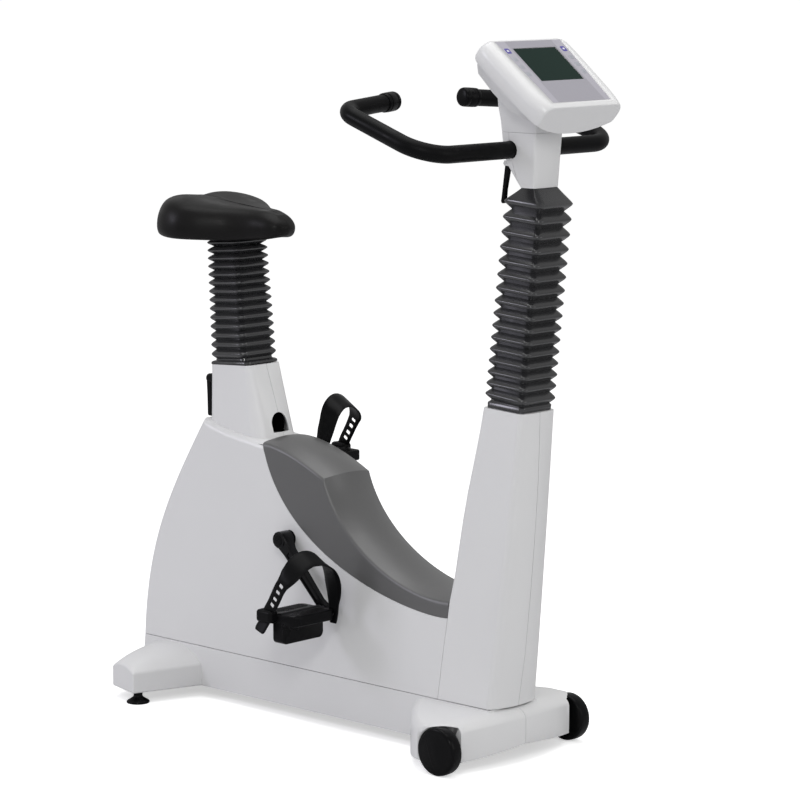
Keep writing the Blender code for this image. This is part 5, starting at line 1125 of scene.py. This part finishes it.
rounding.render_levels = 2
applied(cushion)
cushion.data.shade_smooth()
stand_for(cushion, "saddle_pad")

# %% [markdown]
# ## Handlebar and end sleeves
#
# The bar is one steel tube bent twice a side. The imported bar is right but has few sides, so a finer skin
# follows the same path: straight runs joined by arcs of the bender's radius.


# %% Handlebar
def rounded_path(corners, radii, steps):
    """A path through corner points, each inner corner replaced by an arc."""
    path = [corners[0]]
    for before, corner, after, radius in zip(corners, corners[1:], corners[2:], radii):
        behind = (before - corner).normalized()
        ahead = (after - corner).normalized()
        opening = behind.angle(ahead)
        trim = radius / tan(opening / 2)
        centre = corner + (behind + ahead).normalized() * (radius / sin(opening / 2))
        start = corner + behind * trim - centre
        end = corner + ahead * trim - centre
        sweep = start.angle(end)
        for share in (step / steps for step in range(steps + 1)):
            point = start * sin((1 - share) * sweep) + end * sin(share * sweep)
            path.append(centre + point / sin(sweep))
    return path + [corners[-1]]


def heading(path, index):
    """The direction of a path at one of its points."""
    return (path[min(index + 1, len(path) - 1)] - path[max(index - 1, 0)]).normalized()


def tube_rings(path, radius, sides):
    """Round sections along a path, turned as little as can be."""
    turns = [2 * pi * k / sides for k in range(sides)]
    side = Vector((0, 0, 1)).cross(heading(path, 0)).normalized()
    rings = []
    for index, point in enumerate(path):
        along = heading(path, index)
        side = (side - along * side.dot(along)).normalized()
        up = along.cross(side)
        rings.append([point + radius * (cos(turn) * side + sin(turn) * up) for turn in turns])
    return rings


BAR_RADIUS = 0.01594
END_GAP = 0.004
BAR_CORNERS = [Vector(corner) for corner in ((0.411, 0.0, 1.133), (0.411, 0.258, 1.133),
                                             (0.196, 0.247, 1.203), (0.177, 0.090, 1.214))]
half_path = rounded_path(BAR_CORNERS, (0.062, 0.040), 14)
half_path[-1] = half_path[-1] - (half_path[-1] - half_path[-2]).normalized() * END_GAP
left_rings = tube_rings(half_path, BAR_RADIUS, 32)
right_rings = [[Vector((p.x, -p.y, p.z)) for p in ring] for ring in reversed(left_rings[1:])]
stand_for(shaded(new_object("bent_bar", skin(right_rings + left_rings)), 50), "handlebar")

# %% End sleeves
SLEEVE = [(0, 0), (0, 0.0120), (0.0006, 0.0140), (0.0014, 0.0158), (0.0030, 0.0172), (0.0060, 0.0180),
          (0.0110, 0.0182), (0.0118, 0.0176), (0.0126, 0.0182), (0.0270, 0.0182), (0.0276, 0.0170),
          (0.0292, 0.0170), (0.0298, 0.0180), (0.0340, 0.0179), (0.0356, 0.0173), (0.0365, 0.0169),
          (0.0037, 0.0169), (0.0037, 0)]
for side, word in SIDES:
    inner, end = (Vector((corner.x, side * corner.y, corner.z)) for corner in BAR_CORNERS[2:])
    sleeve = new_object("end_sleeve_" + word, turned(SLEEVE, 40, end, (inner - end).normalized()))
    stand_for(shaded(sleeve, 50), "grip_" + word)

# %% [markdown]
# ## Console
#
# The console's top shell is a shallow wedge with generously rounded sides and a bellied front wall. Its
# cross-sections are drawn in the slope of its face, then the keypad bed and the window are cut.

# %% Console top shell
CONSOLE_REACH = 0.559
NOSE_DROP = 0.0015
CONSOLE_LENGTH = (CONSOLE_REACH - CONSOLE_REAR_EDGE.x + CONSOLE_UP.x * NOSE_DROP) / CONSOLE_DOWN.x
SCREEN_REAR, SCREEN_FRONT, SCREEN_HALF = 0.030, 0.119, 0.058
FOIL_REAR, FOIL_FRONT, FOIL_HALF_REAR, FOIL_HALF_FRONT = 0.0110, 0.1760, 0.0880, 0.0780
FOIL_GAP = 0.0004
SIDE_DROP = 0.0440
BELLY_START, BELLY_RUN, BELLY_DROP, BELLY_MORE = 0.10, 0.085, 0.046, 0.018


def on_console(along, across, height):
    return CONSOLE_REAR_EDGE + CONSOLE_DOWN * along + CONSOLE_UP * height + Vector((0, across, 0))


def console_section(along, half, drop_top, drop_side, drop_middle, radius):
    """One cross-section of the top shell."""
    right = []
    for turn in (radians(90 - 9 * step) for step in range(11)):
        right.append((half - radius + radius * cos(turn), -radius * (1 - sin(turn)) - drop_top))
    right.append((half - 0.0004, mix(-radius - drop_top, -drop_side, 0.35)))
    right.append((half - 0.0015, mix(-radius - drop_top, -drop_side, 0.7)))
    right.append((half - 0.0040, -drop_side + 0.0012))
    right.append((half - 0.0070, -drop_side - 0.0004))
    for share in (0.85, 0.70, 0.52, 0.34, 0.17):
        right.append(((half - 0.006) * share, mix(-drop_middle, -drop_side, share ** 2.2)))
    full = right + [(0.0, -drop_middle)] + [(-y, h) for y, h in reversed(right)] + [(0.0, -drop_top)]
    return [on_console(along, y, h) for y, h in full]


def console_slab(rear, front, half_rear, half_front, low, high):
    """A flat slab that lies along the console's sloping face."""
    corners = ((rear, -half_rear), (front, -half_front), (front, half_front), (rear, half_rear))
    return skin([[on_console(a, y, height) for a, y in corners] for height in (low, high)])


def window_tool():
    return console_slab(SCREEN_REAR, SCREEN_FRONT, SCREEN_HALF, SCREEN_HALF, -0.02, 0.02)


stations = []
for along, half, top in ((0.0, 0.1030, 0.0100), (0.0012, 0.1055, 0.0068), (0.004, 0.1085, 0.0037),
                         (0.009, 0.1118, 0.0010), (0.016, 0.1140, 0.0), (0.026, 0.1153, 0.0),
                         (0.040, 0.1160, 0.0), (0.090, 0.1157, 0.0), (0.145, 0.1142, 0.0),
                         (0.160, 0.1128, 0.0), (0.172, 0.1108, 0.0), (0.180, 0.1086, 0.0),
                         (CONSOLE_LENGTH - 0.003, 0.1056, 0.0), (CONSOLE_LENGTH - 0.001, 0.1042, 0.0006),
                         (CONSOLE_LENGTH, 0.1028, 0.0018)):
    middle = BELLY_DROP + BELLY_MORE * held((along - BELLY_START) / BELLY_RUN)
    stations.append(console_section(along, half, top, SIDE_DROP, middle, 0.0210))
console = new_object("console_shell", skin(stations))
cut(console, skin([console_section(along, half, 0.0038, 0.0900, 0.0900, 0.0190) for along, half in (
    (0.0035, 0.1035), (0.020, 0.1105), (0.145, 0.1105), (0.172, 0.1070), (CONSOLE_LENGTH - 0.004, 0.1010))]))
foil_bed = console_slab(FOIL_REAR - FOIL_GAP, FOIL_FRONT + FOIL_GAP, FOIL_HALF_REAR + FOIL_GAP,
                        FOIL_HALF_FRONT + FOIL_GAP, -0.0010, 0.02)
cut(soften(console, 0.0009, 2, 32.0), foil_bed, window_tool())
console.data.set_sharp_from_angle(angle=radians(40))
stand_for(console, "console_top")
film = console_slab(FOIL_REAR, FOIL_FRONT, FOIL_HALF_REAR, FOIL_HALF_FRONT, -0.0007, -0.0001)
stand_for(cut(new_object("printed_film", film), window_tool()), "keypad_foil")

# %% [markdown]
# ## Keypad print
#
# The keypad is one printed film: lavender gray with lighter stripes at its sides, a violet key at each upper
# corner of the window and three pale keys below each. Keys in a row repeat, so a small geometry tree sets
# copies of one key along a line.

# %% Row tree
sockets = {"Count": "Int", "Start": "Vector", "Step": "Vector", "Piece": "Object", "Finish": "Material"}
row_tree, given, result = new_tree("row_of_copies", "GeometryNodeTree", sockets, {"Row": "Geometry"})
line = add_node(row_tree, "GeometryNodeMeshLine", {"Count": given["Count"], "Offset": given["Step"],
                                                   "Start Location": given["Start"]})
pattern = add_node(row_tree, "GeometryNodeObjectInfo", {"Object": given["Piece"]})
copies = add_node(row_tree, "GeometryNodeInstanceOnPoints", {"Points": line.outputs[0],
                                                             "Instance": pattern.outputs["Geometry"]})
finished(row_tree, copies.outputs[0], given["Finish"], result)


def row_of(name, bm, count, start, step, finish, body):
    """Copies of one small form along a line, as one plain mesh."""
    pattern = new_object("pattern", bm)
    row = tree_piece(name, row_tree, {"Count": count, "Start": Vector(start), "Step": Vector(step),
                                      "Piece": pattern, "Finish": finishes[finish]})
    bpy.data.objects.remove(pattern, do_unlink=True)
    shaded(row, 30)
    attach(row, body)
    print(name, "has", len(row.data.polygons), "faces")


# %% Keys
KEY_ACROSS = 0.0755
KEY_CORNER = 0.0022
KEY_STEP = CONSOLE_DOWN * 0.0200


def key_form(half_along, half_across, thickness):
    """A rounded plate that lies in the console's slope, centred on the origin."""
    outline = rounded_box(-half_along, half_along, half_across, half_across, KEY_CORNER, 0, 4, 1)
    rings = []
    for height, draw in ((-0.0002, 1.0), (thickness * 0.6, 1.0), (thickness, 0.94)):
        rings.append([CONSOLE_DOWN * x * draw + Vector((0, y * draw, 0)) + CONSOLE_UP * height
                      for x, y in outline])
    return skin(rings)


for side, word in SIDES:
    for name, print_color, form, count, along, height in (
            ("pale_keys_", "key_print_pale", (0.0052, 0.0056, 0.00025), 3, 0.0590, -0.0001),
            ("violet_key_", "key_print_violet", (0.0068, 0.0062, 0.00025), 1, 0.0365, -0.0001),
            ("key_mark_", "key_print_white", (0.0024, 0.0026, 0.0001), 1, 0.0365, 0.00015)):
        row_of(name + word, key_form(*form), count, on_console(along, side * KEY_ACROSS, height), KEY_STEP,
               print_color, "console")

# %% Side stripes of the film
tree = finishes["keypad_foil"].node_tree
across = add_node(tree, "ShaderNodeSeparateXYZ", {0: own_place(tree)}).outputs["Y"]
aside = add_node(tree, "ShaderNodeMath", {0: across}, operation="ABSOLUTE").outputs[0]
stripe = add_node(tree, "ShaderNodeMapRange", {"Value": aside, "From Min": 0.0628, "From Max": 0.0632,
                                               "To Min": 1.0, "To Max": 1.22}).outputs[0]
film_color = tree.nodes["Principled BSDF"].inputs["Base Color"]
striped = add_node(tree, "ShaderNodeVectorMath", {0: film_color.links[0].from_socket, 1: stripe},
                   operation="MULTIPLY")
tree.links.new(striped.outputs[0], film_color)
print("film stripes set")

# %% [markdown]
# ## Pedals
#
# A pedal is a plate with a weight below it, so that the strap stays on top, and a buckle at its outer rear
# corner. Each part is softened before they are joined. The tread has raised ribs, which are rows of one
# form. Everything is drawn for the left pedal with its spindle at the origin.

# %% Pedal body
PEDAL_PLAN = ((0.0370, 0.1085), (0.0408, 0.1130), (0.0412, 0.1500), (0.0400, 0.2050), (0.0375, 0.2125),
              (0.0310, 0.2150), (-0.0360, 0.2150), (-0.0430, 0.2110), (-0.0460, 0.2000),
              (-0.0460, 0.1220), (-0.0430, 0.1120), (-0.0360, 0.1085))
TREAD_TOP = 0.0105
PEDAL_IN, PEDAL_OUT = 0.1085, 0.2150
WEIGHT_TOP, WEIGHT_SIDE, WEIGHT_CORNER = -0.004, -0.0370, 0.0100
BOSS, SPINDLE_HOLE, STUD = 0.0128, 0.0065, 0.0028


def pedal_body():
    """The plate with its weight, buckle, spindle boss and strap stud, slotted and bored."""
    weight = [(PEDAL_IN, WEIGHT_TOP), (PEDAL_IN, WEIGHT_SIDE)]
    weight += arc((PEDAL_IN + WEIGHT_CORNER, WEIGHT_SIDE), WEIGHT_CORNER, 180, 270, 8)
    weight += arc((PEDAL_OUT - WEIGHT_CORNER, WEIGHT_SIDE), WEIGHT_CORNER, 270, 360, 8)
    weight.append((PEDAL_OUT, WEIGHT_TOP))
    plate = soften(new_object("tread", drawn_out(PEDAL_PLAN, -TREAD_TOP, TREAD_TOP, "Z")), 0.0028, 4, 30.0)
    block = soften(new_object("block", drawn_out(weight, -0.0165, 0.0110, "X")), 0.0030, 4, 30.0)
    buckle = soften(new_object("buckle", box((-0.0450, 0.2105, -0.0065), (-0.0050, 0.2340, 0.0180))),
                    0.0065, 5, 30.0)
    for part in (taken(block), taken(buckle), bar_between(BOSS, (0, 0.1078, 0), (0, 0.2146, 0), 40),
                 bar_between(STUD, (0.034, 0.1030, 0.0), (0.034, 0.1100, 0.0), 24)):
        join(plate, part)
    cut(plate, box((-0.0418, 0.2205, -0.03), (-0.0070, 0.2285, 0.04)),
        bar_between(SPINDLE_HOLE, (0, 0.10, 0), (0, 0.1950, 0), 32))
    return taken(plate)


# %% [markdown]
# ## Pedal straps
#
# Each strap is a moulded band: wide over the foot, narrow and punched where it runs through the buckle. It
# is swept along a smooth route with a flat section that leans forward over the instep, and its holes are
# cut.

# %% Strap shape
STRAP_ROUTE = ((0.0345, 0.1048, -0.018), (0.0355, 0.1046, 0.014), (0.0395, 0.1080, 0.045),
               (0.0425, 0.1165, 0.077), (0.0405, 0.1290, 0.0985), (0.0365, 0.1470, 0.1115),
               (0.0325, 0.1680, 0.1150), (0.0305, 0.1870, 0.1095), (0.0285, 0.2030, 0.0975),
               (0.0230, 0.2145, 0.0835), (0.0150, 0.2200, 0.0710), (0.0070, 0.2215, 0.0590),
               (-0.0010, 0.2215, 0.0450), (-0.0095, 0.2215, 0.0310), (-0.0195, 0.2232, 0.0150),
               (-0.0262, 0.2252, -0.0020), (-0.0310, 0.2300, -0.0145), (-0.0345, 0.2345, -0.0245))
STRAP_WIDTHS = ((0.0, 0.022), (0.05, 0.025), (0.11, 0.028), (0.17, 0.038), (0.23, 0.044), (0.58, 0.045),
                (0.63, 0.041), (0.69, 0.030), (0.73, 0.0285), (0.90, 0.0270), (1.0, 0.0300))
STRAP_LEAN = ((0.0, 0.0), (0.20, 5.0), (0.36, 25.0), (0.45, 32.0), (0.64, 30.0), (0.72, 10.0), (1.0, 0.0))
HOLE_SHARES = (0.700, 0.743, 0.786, 0.829)
HOLE_HALF_WIDE, HOLE_HALF_LONG, HOLE_CORNER = 0.0058, 0.0042, 0.0019
END_SHARES = (0.72, 0.84, 0.92, 0.97, 1.0)


def strap_parts():
    """The band, and the tools that cut room for its stud and punch its holes."""
    route = smooth_route(STRAP_ROUTE, 6)
    lengths = [0.0]
    for before, after in zip(route, route[1:]):
        lengths.append(lengths[-1] + (after - before).length)
    rings, holes = [], []
    places = list(HOLE_SHARES)
    for index, point in enumerate(route):
        along = heading(route, index)
        share = lengths[index] / lengths[-1]
        lean = radians(read_at(STRAP_LEAN, share))
        hint = Vector((cos(lean), 0, -sin(lean)))
        wide = (hint - along * along.dot(hint)).normalized()
        thick = along.cross(wide)
        end = min(index, len(route) - 1 - index, len(END_SHARES) - 1)
        half = read_at(STRAP_WIDTHS, share) / 2 * END_SHARES[end]
        section = [(half, 0), (half - 0.0004, 0.0008), (half - 0.0012, 0.0013), (half * 0.5, 0.0016),
                   (half * -0.5, 0.0016), (0.0012 - half, 0.0013), (0.0004 - half, 0.0008), (-half, 0)]
        section += [(w, -h) for w, h in reversed(section[1:-1])]
        rings.append([point + wide * w + thick * h for w, h in section])
        if places and share >= places[0]:
            places.pop(0)
            outline = rounded_box(-HOLE_HALF_WIDE, HOLE_HALF_WIDE, HOLE_HALF_LONG, HOLE_HALF_LONG,
                                  HOLE_CORNER, 0, 4, 1)
            hole = drawn_out(outline, -0.006, 0.006, "Z")
            turn = Matrix((wide, along, -thick)).transposed().to_4x4()
            hole.transform(Matrix.Translation(point) @ turn)
            holes.append(hole)
    return [skin(rings), bar_between(0.0033, (0.034, 0.09, 0), (0.034, 0.12, 0)), *holes]


# %% Pedals and straps, right and left
AHEAD = Vector((cos(CRANK_ANGLE), 0, sin(CRANK_ANGLE))) * CRANK_ARM
FIRST_RIB = 0.1215
RIB_STEP = 0.0062
RIB_COUNT = 14


def on_pedal(bm, side):
    """The form on its own side and spindle, facing out."""
    if side < 0:
        bm.transform(Matrix.Scale(-1, 4, (0, 1, 0)))
        bmesh.ops.reverse_faces(bm, faces=bm.faces)
    spindle = CRANK_AXLE - AHEAD * side
    bm.transform(Matrix.Translation((spindle.x, 0, spindle.z)))
    return bm


for side, word in SIDES:
    plate = new_object("tread_" + word, on_pedal(pedal_body(), side))
    stand_for(shaded(plate, 35), "pedal_" + word)
    band, *punches = [on_pedal(bm, side) for bm in strap_parts()]
    strap = cut(new_object("foot_strap_" + word, band), *punches)
    stand_for(shaded(strap, 45), "pedal_strap_" + word)
    spindle = CRANK_AXLE - AHEAD * side
    for x, place in ((0.025, "_front"), (-0.030, "_rear")):
        row_of("tread_ribs_" + word + place, box((-0.0120, -0.0009, -0.0002), (0.0120, 0.0009, 0.0007)),
               RIB_COUNT, (spindle.x + x, side * FIRST_RIB, spindle.z + TREAD_TOP),
               (0, side * RIB_STEP, 0), "black_plastic", word + "_pedal")

# %% [markdown]
# ## Wheels and levelling feet
#
# Both are turned pieces, so a profile and a count of sides are all they need. The wheel's outer face is a
# low dome; the foot is a cone on a round pad.

# %% Wheels and feet
WHEEL = [(-0.0140, 0), (-0.0140, 0.0300), (-0.0140, 0.0400), (-0.0134, 0.0424), (-0.0120, 0.0438),
         (-0.0095, 0.0446), (-0.0050, 0.0449), (0.0, 0.0450), (0.0050, 0.0449), (0.0090, 0.0444),
         (0.0112, 0.0432), (0.0124, 0.0410), (0.0128, 0.0380), (0.0131, 0.0340), (0.0139, 0.0280),
         (0.0149, 0.0200), (0.0156, 0.0100), (0.0160, 0)]
FOOT = [(0, 0), (0, 0.0222), (0.0008, 0.0228), (0.0022, 0.0230), (0.0034, 0.0227), (0.0050, 0.0210),
        (0.0075, 0.0165), (0.0105, 0.0120), (0.0125, 0.0098), (0.0145, 0.0090), (0.0255, 0.0090),
        (0.0255, 0.0050), (0.0540, 0.0050), (0.0540, 0)]
FOOT_X, FOOT_Y = -0.436, 0.188
BORE = 0.0066
for side, word in SIDES:
    hub = Vector((WHEEL_HUB.x, side * WHEEL_HUB.y, WHEEL_HUB.z))
    roller = new_object("roller_" + word, turned(WHEEL, 64, hub, (0, side, 0)))
    cut(roller, bar_between(BORE, hub - Vector((0, side * 0.03, 0)), hub + Vector((0, side * 0.0095, 0))))
    stand_for(shaded(roller, 50), "wheel_" + word)
    pad = new_object("floor_pad_" + word, turned(FOOT, 48, (FOOT_X, side * FOOT_Y, 0)))
    stand_for(shaded(pad, 50), "levelling_foot_" + word)
